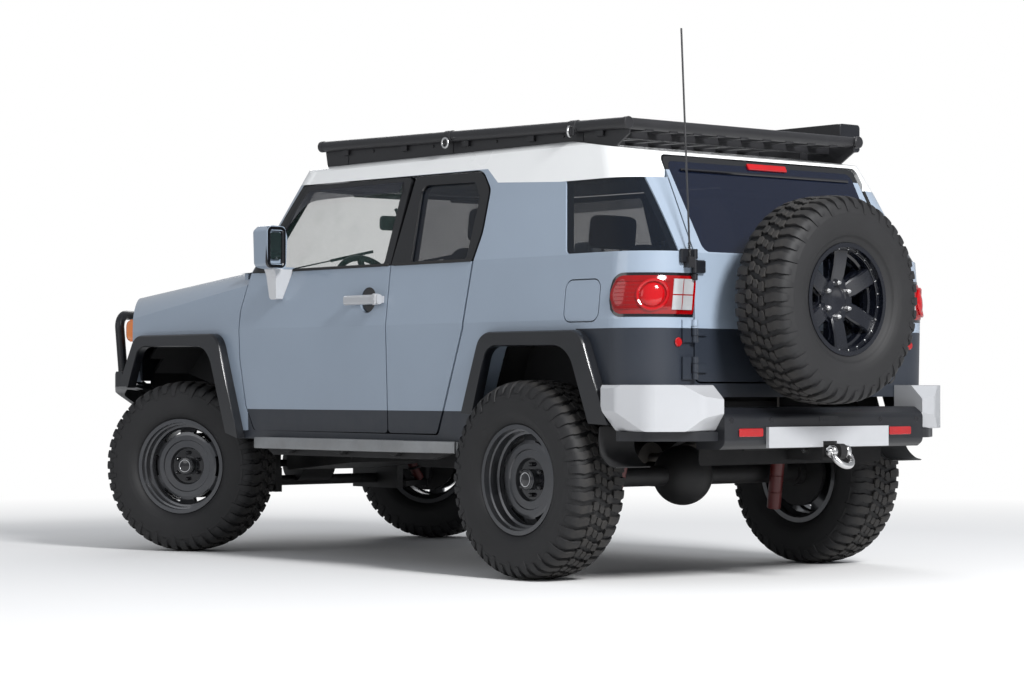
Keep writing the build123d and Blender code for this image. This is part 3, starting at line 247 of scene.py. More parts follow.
def revolved(profile: Array, steps: int) -> Array:
    """Profile of (along, out) pairs turned about X: (along, out cos a, out sin a) at even angles.

    Args:
        profile: The profile's points.
        steps: Number of steps round.

    Returns:
        Points of shape (steps, points of the profile, 3).
    """
    a = full_turn(steps)[:, None]
    along = np.broadcast_to(profile[None, :, 0], (steps, len(profile)))
    return np.stack([along, profile[:, 1] * np.cos(a), profile[:, 1] * np.sin(a)], axis=-1)


def placed(points: Array, place: Matrix) -> Array:
    """Points carried by a place: its turn times each point, plus its origin."""
    turn = np.array(place)
    return points @ turn[:3, :3].T + turn[:3, 3]


def facing(origin: Point, normal: Point, up: Point = UP) -> Matrix:
    """Place whose Z points along a normal and whose Y leans to a direction.

    Args:
        origin: The place's origin.
        normal: Direction of its Z.
        up: Direction that its Y leans to.

    Returns:
        The place as a matrix.
    """
    z = Vector(normal).normalized()
    x = Vector(up).cross(z).normalized()
    y = z.cross(x)
    place = Matrix.Identity(4)
    for column, axis in enumerate((x, y, z)):
        for row in range(3):
            place[row][column] = axis[row]
    place.translation = origin
    return place


def around(place: Matrix, share: float, out: float) -> Matrix:
    """Place on a circle about another place's X axis, its Z along that axis.

    Args:
        place: The place whose X is the axis.
        share: Share of a full turn.
        out: Radius of the circle.

    Returns:
        The place on the circle.
    """
    turn = Matrix.Rotation(share * 2 * math.pi, 4, "X")
    return place @ turn @ Matrix.Translation((0, out, 0)) @ Matrix.Rotation(math.pi / 2, 4, "Y")


def side_half(z: Array | float) -> Array:
    """Half width of the body at a height, read off its straight wall lines."""
    return np.interp(z, (SILL_Z, WAIST_Z, BELT_Z, EAVE_Z), (SILL_HALF, WAIST_HALF, BELT_HALF, EAVE_HALF))


def rear_face(z: Array | float) -> Array:
    """Y of the body's rear face at a height."""
    return np.interp(z, (SILL_Z, BELT_Z, EAVE_Z), (TAIL_Y, TAIL_Y, TAIL_Y - TAIL_LEAN))


def round_corner(s: Array, z: Array, out: Array | float) -> Array:
    """Points on the left rear corner: a line along the side, a quarter circle, a line across the rear.

    Args:
        s: Length along the outline from the start of the quarter circle, towards the rear's middle.
        z: Height.
        out: Distance outwards from the body.

    Returns:
        Points, one for each element of s.
    """
    turn = np.clip(s / TAIL_CORNER, 0, math.pi / 2)
    before = np.minimum(s, 0)
    after = np.maximum(s - TAIL_CORNER * math.pi / 2, 0)
    x = side_half(z) - TAIL_CORNER + (TAIL_CORNER + out) * np.cos(turn) - after
    y = rear_face(z) - TAIL_CORNER + (TAIL_CORNER + out) * np.sin(turn) + before
    return np.stack(np.broadcast_arrays(x, y, z), axis=-1)


def pad(half: Point, crown: float = 0.02, pinch: float = 0.03, square: float = 0.32,
        grooves: tuple[float, ...] = (), steps: tuple[int, int] = (44, 88)) -> tuple[Array, Array]:
    """Crowned pad: a superellipsoid whose top rises towards the middle and whose sides draw in between corners.

    x = a c(u) c(v), y = b c(u) s(v), z = h s(u), each sine and cosine raised to the square's power.

    Args:
        half: Half sizes along X, Y and Z.
        crown: Height of the crown.
        pinch: Share by which the sides draw in.
        square: Power of the sines and cosines; a smaller one gives squarer corners.
        grooves: Places along X, from -1 to 1, of sewn channels in the top.
        steps: Rows from pole to pole, and points round.

    Returns:
        Points and faces.
    """
    groove_depth, groove_width = 0.009, 0.035
    u = np.linspace(-math.pi / 2, math.pi / 2, steps[0])[:, None]
    v = full_turn(steps[1])[None, :]

    def power(value: Array) -> Array:
        """Value raised to the power with its sign kept."""
        return np.sign(value) * np.abs(value) ** square

    x, y = power(np.cos(u)) * power(np.cos(v)), power(np.cos(u)) * power(np.sin(v))
    z = power(np.sin(u)) * np.ones_like(v)
    bow_x, bow_y = 1 - pinch * (1 - y**2), 1 - pinch * (1 - x**2)
    top = np.clip(z * 3, 0, 1)
    rise = crown * (1 - x**2) * (1 - y**2) * top
    for groove in grooves:
        rise = rise - groove_depth * np.exp(-(((x - groove) / groove_width) ** 2)) * top
    points = np.stack([x * half[0] * bow_x, y * half[1] * bow_y, z * half[2] + rise], axis=-1)
    return points.reshape(-1, 3), grid_quads(*steps, round_cols=True)


class Shape:
    """Surfaces gathered into one mesh."""

    def __init__(self) -> None:
        """Starts with nothing."""
        self.points: list[Array] = []
        self.faces: list[Array] = []
        self.finishes: list[Array] = []
        self.uvs: list[Array] = []
        self.count = 0

    def add(self, points: Array, faces: Array, finish: int = 0, uv: Array | None = None) -> Shape:
        """Adds one surface.

        Args:
            points: Its points, one to a row.
            faces: Point numbers, as many to a face as there are columns.
            finish: Which of the piece's materials it takes.
            uv: Two pattern coordinates for each point.

        Returns:
            This shape.
        """
        self.points.append(np.asarray(points, float))
        self.faces.append(np.asarray(faces) + self.count)
        self.finishes.append(np.full(len(faces), finish))
        self.uvs.append(np.zeros((len(points), 2)) if uv is None else uv)
        self.count += len(points)
        return self

    def loft(self, rings: Array) -> Shape:
        """Skin over closed rings of equal length, with flat ends.

        Args:
            rings: Points of shape (rings, points to a ring, 3).

        Returns:
            This shape.
        """
        rows, cols = rings.shape[:2]
        self.add(rings.reshape(-1, 3), grid_quads(rows, cols, round_cols=True))
        self.add(rings[0], np.arange(cols)[None, ::-1])
        return self.add(rings[-1], np.arange(cols)[None, :])

    def hoop(self, rings: Array, uv: Array | None = None) -> Shape:
        """Skin over closed rings of which the last joins the first.

        Args:
            rings: Points of shape (rings, points to a ring, 3).
            uv: Two pattern coordinates for each point.

        Returns:
            This shape.
        """
        return self.add(rings.reshape(-1, 3), grid_quads(*rings.shape[:2], True, True), uv=uv)

    def tube(self, path: Array, section: Array, up: Point = UP) -> Shape:
        """Section carried along a path, kept square to it: point = path + u side + v top.

        Args:
            path: Points of the path.
            section: Closed outline as (side, top) pairs.
            up: Direction that the section's top leans to.

        Returns:
            This shape.
        """
        along = np.gradient(path, axis=0)
        along /= np.linalg.norm(along, axis=1, keepdims=True)
        side = np.cross(along, np.asarray(up, float))
        side /= np.maximum(np.linalg.norm(side, axis=1, keepdims=True), 1e-9)
        top = np.cross(side, along)
        return self.loft(path[:, None] + section[None, :, :1] * side[:, None] + section[None, :, 1:] * top[:, None])

    def plate(self, outline: Array, place: Matrix, low: float, high: float, bevel: float = 0) -> Shape:
        """Flat outline given a thickness along the place's Z, with both edges bevelled.

        Args:
            outline: Closed outline as (x, y) pairs.
            place: Matrix from the outline's plane to the frame.
            low: Bottom of the plate along the place's Z.
            high: Top of the plate along the place's Z.
            bevel: Width of the bevel on both edges.

        Returns:
            This shape.
        """
        steps = [(outline, low), (outline, high)]
        if bevel:
            small = inset(outline, bevel)
            steps = [(small, low), (outline, low + bevel), (outline, high - bevel), (small, high)]
        return self.loft(placed(stacked(steps), place))

    def box(self, low: Point, high: Point, bevel: float = 0.002) -> Shape:
        """Block between two corners, its long edges bevelled.

        Args:
            low: Its lowest corner.
            high: Its highest corner.
            bevel: Width of the bevels.

        Returns:
            This shape.
        """
        size = np.subtract(high, low)
        middle = np.add(high, low) / 2
        outline = round_rect(size[0], size[1], min(bevel, size[0] / 2.1, size[1] / 2.1), 2)
        place = Matrix.Translation((middle[0], middle[1], 0))
        return self.plate(outline, place, low[2], high[2], min(bevel, size[2] / 3))

    def spin(self, profile: list[tuple[float, float]] | Array, place: Matrix, steps: int = 48) -> Shape:
        """Closed profile of (along, out) pairs turned about the place's X axis.

        Args:
            profile: Closed profile.
            place: Matrix that puts the X axis in place.
            steps: Number of steps round.

        Returns:
            This shape.
        """
        return self.hoop(placed(revolved(np.asarray(profile, float), steps), place))

    def both_sides(self) -> Shape:
        """Adds the mirror image across the vehicle's middle, with its faces turned the right way.

        Returns:
            This shape.
        """
        pieces = list(zip(self.points, self.faces, self.finishes, self.uvs))
        start = 0
        for points, faces, finishes, uv in pieces:
            local = faces - start
            start += len(points)
            self.add(points * (-1, 1, 1), local[:, ::-1], int(finishes[0]), uv)
        return self

    def make(self, name: str, body: str, slot: str, materials: list[bpy.types.Material],
             angle: float = 32.0) -> bpy.types.Object:
        """Makes the mesh object, closes its seams, turns its faces outwards and lets it ride.

        Args:
            name: The piece's name.
            body: CAD body that it rides on.
            slot: Material slot of the record; not used.
            materials: Its materials, in the order of the finish numbers.
            angle: Edges sharper than this many degrees stay sharp.

        Returns:
            The new object.
        """
        mesh = bpy.data.meshes.new(name)
        co = np.vstack(self.points)
        loops = np.concatenate([f.ravel() for f in self.faces])
        sizes = np.concatenate([np.full(len(f), f.shape[1]) for f in self.faces])
        mesh.vertices.add(len(co))
        mesh.vertices.foreach_set("co", co.astype(np.float32).ravel())
        mesh.loops.add(len(loops))
        mesh.loops.foreach_set("vertex_index", loops.astype(np.int32))
        mesh.polygons.add(len(sizes))
        mesh.polygons.foreach_set("loop_start", (np.cumsum(sizes) - sizes).astype(np.int32))
        for material in materials:
            mesh.materials.append(material)
        mesh.polygons.foreach_set("material_index", np.concatenate(self.finishes).astype(np.int32))
        layer = mesh.uv_layers.new(name="UVMap")
        layer.data.foreach_set("uv", np.vstack(self.uvs)[loops].astype(np.float32).ravel())
        mesh.update(calc_edges=True)
        work = bmesh.new()
        work.from_mesh(mesh)
        bmesh.ops.remove_doubles(work, verts=work.verts, dist=1e-5)
        bmesh.ops.dissolve_degenerate(work, dist=1e-6, edges=work.edges)
        bmesh.ops.recalc_face_normals(work, faces=work.faces)
        work.to_mesh(mesh)
        work.free()
        mesh.shade_smooth()
        mesh.set_sharp_from_angle(angle=math.radians(angle))
        piece = bpy.data.objects.new(name, mesh)
        bpy.context.scene.collection.objects.link(piece)
        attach(piece, body)
        log.info("%s rides on %s, %d faces", name, body, len(mesh.polygons))
        return piece


# Shader node groups and materials


class Nodes:
    """Short way to add and join the nodes of one tree."""

    def __init__(self, tree: bpy.types.NodeTree) -> None:
        """Keeps the tree to fill."""
        self.tree = tree

    def add(self, kind: str, inputs: dict[str | int, object] | None = None, **settings: object) -> bpy.types.Node:
        """Adds a node, sets its properties, and sets or joins its inputs.

        Args:
            kind: Node type, such as ShaderNodeMath.
            inputs: A socket to join or a value to set, by input name or number.
            **settings: Properties of the node.

        Returns:
            The node.
        """
        node = self.tree.nodes.new(kind)
        for key, value in settings.items():
            setattr(node, key, value)
        return self.fill(node, inputs or {})

    def fill(self, node: bpy.types.Node, inputs: dict[str | int, object]) -> bpy.types.Node:
        """Sets or joins a node's inputs.

        Args:
            node: The node.
            inputs: A socket to join or a value to set, by input name or number.

        Returns:
            The node.
        """
        for key, value in inputs.items():
            if isinstance(value, Socket):
                self.tree.links.new(value, node.inputs[key])
            else:
                node.inputs[key].default_value = value
        return node

    def math(self, operation: str, a: object, b: object = 0.0, clamp: bool = False) -> Socket:
        """Result of one arithmetic operation.

        Args:
            operation: The Math node's operation.
            a: First socket or number.
            b: Second socket or number.
            clamp: Keep the result between 0 and 1.

        Returns:
            The result's socket.
        """
        return self.add("ShaderNodeMath", {0: a, 1: b}, operation=operation, use_clamp=clamp).outputs[0]

    def ramp(self, value: object, low: object, high: object) -> Socket:
        """Rises from 0 at low to 1 at high, evenly.

        Args:
            value: Socket to read.
            low: Value, as a number or a socket, that gives 0.
            high: Value that gives 1.

        Returns:
            The result's socket.
        """
        inputs = {"Value": value, "From Min": low, "From Max": high}
        return self.add("ShaderNodeMapRange", inputs, clamp=True).outputs[0]

    def mix(self, share: object, a: object, b: object) -> Socket:
        """Colour a, or colour b where the share is 1.

        Args:
            share: Share of colour b.
            a: First colour or socket.
            b: Second colour or socket.

        Returns:
            The mixed colour's socket.
        """
        inputs = {0: share}
        for number, value in ((6, a), (7, b)):
            inputs[number] = (*value, 1.0) if isinstance(value, tuple) else value
        return self.add("ShaderNodeMix", inputs, data_type="RGBA").outputs[2]

    def place(self) -> Socket:
        """The surface point's place in the model's frame."""
        return self.add("ShaderNodeTexCoord").outputs["Object"]

    def axes(self) -> tuple[Socket, Socket, Socket]:
        """The surface point's X, Y and Z in the model's frame."""
        split = self.add("ShaderNodeSeparateXYZ", {0: self.place()})
        return split.outputs["X"], split.outputs["Y"], split.outputs["Z"]

    def noise(self, scale: object, detail: float, roughness: float = 0.5) -> Socket:
        """Cloudy noise over the model's frame.

        Args:
            scale: Number or socket; a larger one gives finer noise.
            detail: Number of finer layers.
            roughness: Share that each finer layer adds.

        Returns:
            Its value's socket, from 0 to 1.
        """
        inputs = {"Vector": self.place(), "Scale": scale, "Detail": detail, "Roughness": roughness}
        return self.add("ShaderNodeTexNoise", inputs).outputs[0]


def new_group(
    name: str, inputs: dict[str, float], outputs: tuple[str, ...]
) -> tuple[bpy.types.NodeTree, Nodes, bpy.types.Node, bpy.types.Node]:
    """Starts a shader node group whose sockets are all floats.

    Args:
        name: The group's name.
        inputs: Input names with their usual values.
        outputs: Output names.

    Returns:
        The tree, its node maker, and its input and output nodes.
    """
    tree = bpy.data.node_groups.new(name, "ShaderNodeTree")
    for key, value in inputs.items():
        tree.interface.new_socket(key, in_out="INPUT", socket_type="NodeSocketFloat").default_value = value
    for key in outputs:
        tree.interface.new_socket(key, in_out="OUTPUT", socket_type="NodeSocketFloat")
    nodes = Nodes(tree)
    return tree, nodes, nodes.add("NodeGroupInput"), nodes.add("NodeGroupOutput")


@dataclass(frozen=True)
class Effects:
    """Shader node groups that several finishes share."""

    grain: bpy.types.NodeTree
    dust: bpy.types.NodeTree
    weave: bpy.types.NodeTree
    ripple: bpy.types.NodeTree

    @staticmethod
    def build() -> Effects:
        """Builds each group once."""
        return Effects(Effects._grain(), Effects._dust(), Effects._weave(), Effects._ripple())

    @staticmethod
    def _grain() -> bpy.types.NodeTree:
        """Moulded grain: fine cells plus slow blotches, as a height and a mottle.

        Returns:
            The group.
        """
        tree, n, start, end = new_group("moulded_grain", {"Scale": 600.0}, ("Height", "Mottle"))
        cells = n.add("ShaderNodeTexVoronoi", {"Vector": n.place(), "Scale": start.outputs["Scale"]})
        tree.links.new(cells.outputs["Distance"], end.inputs["Height"])
        tree.links.new(n.noise(7.0, 5.0, 0.6), end.inputs["Mottle"])
        return tree

    @staticmethod
    def _dust() -> bpy.types.NodeTree:
        """Road dust: thick at the bottom, gone above a height, broken up by noise.

        Returns:
            The group.
        """
        tree, n, start, end = new_group("road_dust", {"Low": 0.45, "High": 1.0, "Amount": 0.5}, ("Mask",))
        _, _, height = n.axes()
        thick = n.ramp(height, start.outputs["High"], start.outputs["Low"])
        speckled = n.math("MULTIPLY", thick, n.ramp(n.noise(9.0, 8.0, 0.7), 0.32, 0.72))
        mask = n.math("MULTIPLY", speckled, start.outputs["Amount"], clamp=True)
        tree.links.new(mask, end.inputs["Mask"])
        return tree

    @staticmethod
    def _weave() -> bpy.types.NodeTree:
        """Woven cloth: the product of two crossed waves, as a height.

        Returns:
            The group.
        """
        tree, n, start, end = new_group("cloth_weave", {"Scale": 500.0}, ("Height",))
        waves = []
        for direction in ("X", "DIAGONAL"):
            inputs = {"Vector": n.place(), "Scale": start.outputs["Scale"]}
            waves.append(n.add("ShaderNodeTexWave", inputs, bands_direction=direction).outputs["Fac"])
        tree.links.new(n.math("MULTIPLY", *waves), end.inputs["Height"])
        return tree

    @staticmethod
    def _ripple() -> bpy.types.NodeTree:
        """Sprayed paint: a very shallow ripple, as a height, with a slow mottle.

        Returns:
            The group.
        """
        tree, n, start, end = new_group("paint_ripple", {"Scale": 160.0}, ("Height", "Mottle"))
        tree.links.new(n.noise(start.outputs["Scale"], 1.0), end.inputs["Height"])
        tree.links.new(n.noise(1.8, 3.0), end.inputs["Mottle"])
        return tree


class Pattern(Enum):
    """Which shared effect gives a finish its surface."""

    RIPPLE = "ripple"
    GRAIN = "grain"
    WEAVE = "weave"


@dataclass(frozen=True)
class Finish:
    """One finish: a colour, its gloss and the shared effects laid over it."""

    name: str
    colour: Colour
    roughness: float = 0.5
    metallic: float = 0.0
    coat: float = 0.0
    pattern: Pattern = Pattern.GRAIN
    scale: float = 600.0
    bump: float = 0.15
    depth: float = 0.0004
    mottle: float = 0.12
    dust: float = 0.0
    dust_high: float = 1.0
    dust_colour: Colour = (0.20, 0.18, 0.155)
    sheen: float = 0.0

    def make(self, effects: Effects) -> bpy.types.Material:
        """Makes the material.

        Args:
            effects: The shared groups.

        Returns:
            The material.
        """
        material = bpy.data.materials.new(self.name)
        material.use_nodes = True
        n = Nodes(material.node_tree)
        shader = material.node_tree.nodes["Principled BSDF"]
        n.fill(shader, {"Metallic": self.metallic, "Sheen Weight": self.sheen})
        n.fill(shader, {"Coat Weight": self.coat, "Coat Roughness": 0.04, **self.inputs(n, effects)})
        return material

    def relief(self, n: Nodes, effects: Effects) -> tuple[Socket, Socket]:
        """Normal and mottle from the finish's pattern.

        Args:
            n: The material's node maker.
            effects: The shared groups.

        Returns:
            The normal, and a slow variation from 0 to 1.
        """
        tree = {Pattern.RIPPLE: effects.ripple, Pattern.GRAIN: effects.grain, Pattern.WEAVE: effects.weave}
        group = n.add("ShaderNodeGroup", {"Scale": self.scale}, node_tree=tree[self.pattern])
        inputs = {"Strength": self.bump, "Distance": self.depth, "Height": group.outputs["Height"]}
        normal = n.add("ShaderNodeBump", inputs).outputs[0]
        if self.pattern is Pattern.WEAVE:
            return normal, n.add("ShaderNodeTexNoise", {"Scale": 6.0}).outputs[0]
        return normal, group.outputs["Mottle"]

    def tone(self, n: Nodes, mottle: Socket) -> Socket:
        """The colour before dust: darker and lighter by the mottle's share.

        Args:
            n: The material's node maker.
            mottle: Slow variation from 0 to 1.

        Returns:
            The colour's socket.
        """
        dark = tuple(c * (1 - self.mottle) for c in self.colour)
        light = tuple(min(1.0, c * (1 + self.mottle)) for c in self.colour)
        return n.mix(n.ramp(mottle, 0.3, 0.7), dark, light)

    def gloss(self, n: Nodes, mottle: Socket) -> Socket:
        """The roughness before dust, 0.04 to either side of the finish's own with the mottle."""
        return n.math("ADD", n.math("MULTIPLY", n.ramp(mottle, 0.3, 0.7), 0.08), self.roughness - 0.04)

    def dusted(self, n: Nodes, tone: Socket, rough: Socket, effects: Effects
               ) -> tuple[Socket, Socket]:
        """Colour and roughness under the finish's road dust.

        Args:
            n: The material's node maker.
            tone: Colour under the dust.
            rough: Roughness under the dust.
            effects: The shared groups.

        Returns:
            The colour and the roughness.
        """
        if not self.dust:
            return tone, rough
        inputs = {"High": self.dust_high, "Amount": self.dust}
        mask = n.add("ShaderNodeGroup", inputs, node_tree=effects.dust).outputs["Mask"]
        rough = n.math("ADD", rough, n.math("MULTIPLY", mask, 0.35), clamp=True)
        return n.mix(mask, tone, self.dust_colour), rough

    def inputs(self, n: Nodes, effects: Effects) -> dict[str, object]:
        """The shader's inputs that change over the surface.

        Args:
            n: The material's node maker.
            effects: The shared groups.

        Returns:
            Sockets or values by input name.
        """
        normal, mottle = self.relief(n, effects)
        tone, rough = self.dusted(n, self.tone(n, mottle), self.gloss(n, mottle), effects)
        return {"Base Color": tone, "Roughness": rough, "Normal": normal}


@dataclass(frozen=True)
class PanelPaint(Finish):
    """Body paint with black window frames, dark cladding and trimmed inner faces, told apart by place.

    A height that is None leaves its area painted.
    """

    frame_above: float | None = None
    cladding_below: float | None = None
    cladding_from_y: float = -9.0
    rocker_below: float | None = None
    inward: float = -0.3
    tail_from_y: float = 1.5
    roof_from_z: float = 1.6
    trim_colour: Colour = (0.085, 0.085, 0.086)
    frame_colour: Colour = (0.006, 0.0065, 0.008)
    cladding_colour: Colour = (0.019, 0.024, 0.034)

    def inside(self, n: Nodes) -> Socket:
        """Mask of the side walls', the tail's and the roof's faces that look into the cabin.

        Args:
            n: The material's node maker.

        Returns:
            1 on those faces and 0 elsewhere.
        """
        x, y, z = n.axes()
        look = n.add("ShaderNodeSeparateXYZ", {0: n.add("ShaderNodeTexCoord").outputs["Normal"]}).outputs
        found = n.math("LESS_THAN", n.math("MULTIPLY", look["X"], n.math("SIGN", x)), self.inward)
        for axis, along, start in (("Y", y, self.tail_from_y), ("Z", z, self.roof_from_z)):
            inner = n.math("LESS_THAN", look[axis], self.inward)
            found = n.math("MAXIMUM", found, n.math("MULTIPLY", inner, n.math("GREATER_THAN", along, start)))
        return found

    def areas(self, n: Nodes) -> list[tuple[Socket, Colour, float]]:
        """The areas that aren't painted, in the order in which they cover one another.

        Args:
            n: The material's node maker.

        Returns:
            Mask, colour and roughness of each.
        """
        _, y, z = n.axes()
        found = []
        if self.frame_above is not None:
            found.append((n.math("GREATER_THAN", z, self.frame_above), self.frame_colour, 0.42))
        if self.cladding_below is not None:
            low = n.math("LESS_THAN", z, self.cladding_below)
            back = n.math("GREATER_THAN", y, self.cladding_from_y)
            found.append((n.math("MULTIPLY", low, back), self.cladding_colour, 0.34))
        if self.rocker_below is not None:
            found.append((n.math("LESS_THAN", z, self.rocker_below), self.cladding_colour, 0.36))
        return [*found, (self.inside(n), self.trim_colour, 0.6)]

    def inputs(self, n: Nodes, effects: Effects) -> dict[str, object]:
        """The shader's inputs; the clear coat ends where an area begins.

        Args:
            n: The material's node maker.
            effects: The shared groups.

        Returns:
            Sockets or values by input name.
        """
        normal, mottle = self.relief(n, effects)
        tone, coat = self.tone(n, mottle), self.coat
        rough = n.math("ADD", n.math("MULTIPLY", mottle, 0.04), self.roughness)
        for mask, colour, roughness in self.areas(n):
            tone = n.mix(mask, tone, colour)
            rough = n.add("ShaderNodeMix", {0: mask, 2: rough, 3: roughness}).outputs[0]
            coat = n.math("MULTIPLY", coat, n.math("SUBTRACT", 1.0, mask))
        tone, rough = self.dusted(n, tone, rough, effects)
        return {"Base Color": tone, "Roughness": rough, "Normal": normal, "Coat Weight": coat}


@dataclass(frozen=True)
class Glazing(Finish):
    """Tinted pane, see-through head on: each face covers 1 - clear + glare (1 - cos of the angle)^4."""

    clear: float = 0.7
    glare: float = 0.9
    heated: bool = False
    line_pitch: float = 0.030
    line_from: float = 0.985
    line_cover: float = 0.2

    def inputs(self, n: Nodes, effects: Effects) -> dict[str, object]:
        """The shader's inputs, with a faint smear and, on a heated pane, level lines where a sine peaks.

        Args:
            n: The material's node maker.
            effects: The shared groups, of which a pane needs none.

        Returns:
            Sockets or values by input name.
        """
        glance = n.add("ShaderNodeLayerWeight", {"Blend": 0.5}).outputs["Facing"]
        mirror = n.math("MULTIPLY", n.math("POWER", glance, 4.0), self.glare)
        solid = n.math("ADD", mirror, 1 - self.clear, clamp=True)
        haze = n.math("MULTIPLY", n.ramp(n.noise(5.0, 6.0), 0.5, 0.9), 0.06)
        alpha = n.math("ADD", solid, haze, clamp=True)
        if self.heated:
            _, _, z = n.axes()
            wave = n.math("SINE", n.math("MULTIPLY", z, 2 * math.pi / self.line_pitch))
            line = n.math("MULTIPLY", n.math("GREATER_THAN", wave, self.line_from), self.line_cover)
            alpha = n.math("ADD", alpha, line, clamp=True)
        return {"Base Color": (*self.colour, 1.0), "Roughness": self.roughness, "IOR": 1.5, "Alpha": alpha}


@dataclass(frozen=True)
class TreadRubber(Finish):
    """Tyre rubber whose tread faces are scuffed and dusty, read from the pattern coordinates."""

    scuffed: Colour = (0.034, 0.031, 0.028)
    darkest: float = 0.85
    lightest: float = 1.25

    def inputs(self, n: Nodes, effects: Effects) -> dict[str, object]:
        """The shader's inputs; the scuffs lie where the second pattern coordinate nears 1.

        Args:
            n: The material's node maker.
            effects: The shared groups.

        Returns:
            Sockets or values by input name.
        """
        normal, mottle = self.relief(n, effects)
        across = n.add("ShaderNodeSeparateXYZ", {0: n.add("ShaderNodeUVMap").outputs[0]}).outputs["Y"]
        speck = n.ramp(n.noise(22.0, 8.0, 0.7), 0.3, 0.7)
        worn = n.math("MULTIPLY", n.ramp(across, 0.90, 0.99), speck)
        dark, light = (tuple(c * share for c in self.colour) for share in (self.darkest, self.lightest))
        tone = n.mix(worn, n.mix(n.ramp(mottle, 0.3, 0.7), dark, light), self.scuffed)
        rough = n.math("ADD", n.math("MULTIPLY", worn, 0.2), self.roughness)
        return {"Base Color": tone, "Roughness": rough, "Normal": normal}


class Axis(Enum):
    """An axis of the frame, valued by its number."""

    X = 0
    Y = 1
    Z = 2


@dataclass(frozen=True)
class TwoTone(Finish):
    """Finish with a second colour where the distance along one axis is beyond an edge."""

    other: Colour = (0.5, 0.5, 0.5)
    axis: Axis = Axis.X
    edge: float = 0.0

    def tone(self, n: Nodes, mottle: Socket) -> Socket:
        """The first colour up to the edge on both sides of the middle, and the second beyond it.

        Args:
            n: The material's node maker.
            mottle: Slow variation, which these two colours leave out.

        Returns:
            The colour's socket.
        """
        along = n.axes()[self.axis.value]
        mask = n.math("GREATER_THAN", n.math("ABSOLUTE", along), self.edge)
        return n.mix(mask, self.colour, self.other)


BODY_BLUE = (0.275, 0.335, 0.415)
SPRAYED: dict[str, object] = {"pattern": Pattern.RIPPLE, "scale": 160.0}
BODY_PAINT: dict[str, object] = {"roughness": 0.32, "coat": 0.8, "bump": 0.06, "mottle": 0.03, **SPRAYED}
CLADDING_TOP = 1.042
SEAT_CLOTH: dict[str, object] = {"roughness": 0.85, "pattern": Pattern.WEAVE, "sheen": 0.3}
LENS: dict[str, object] = {"coat": 0.8, "bump": 0.02}


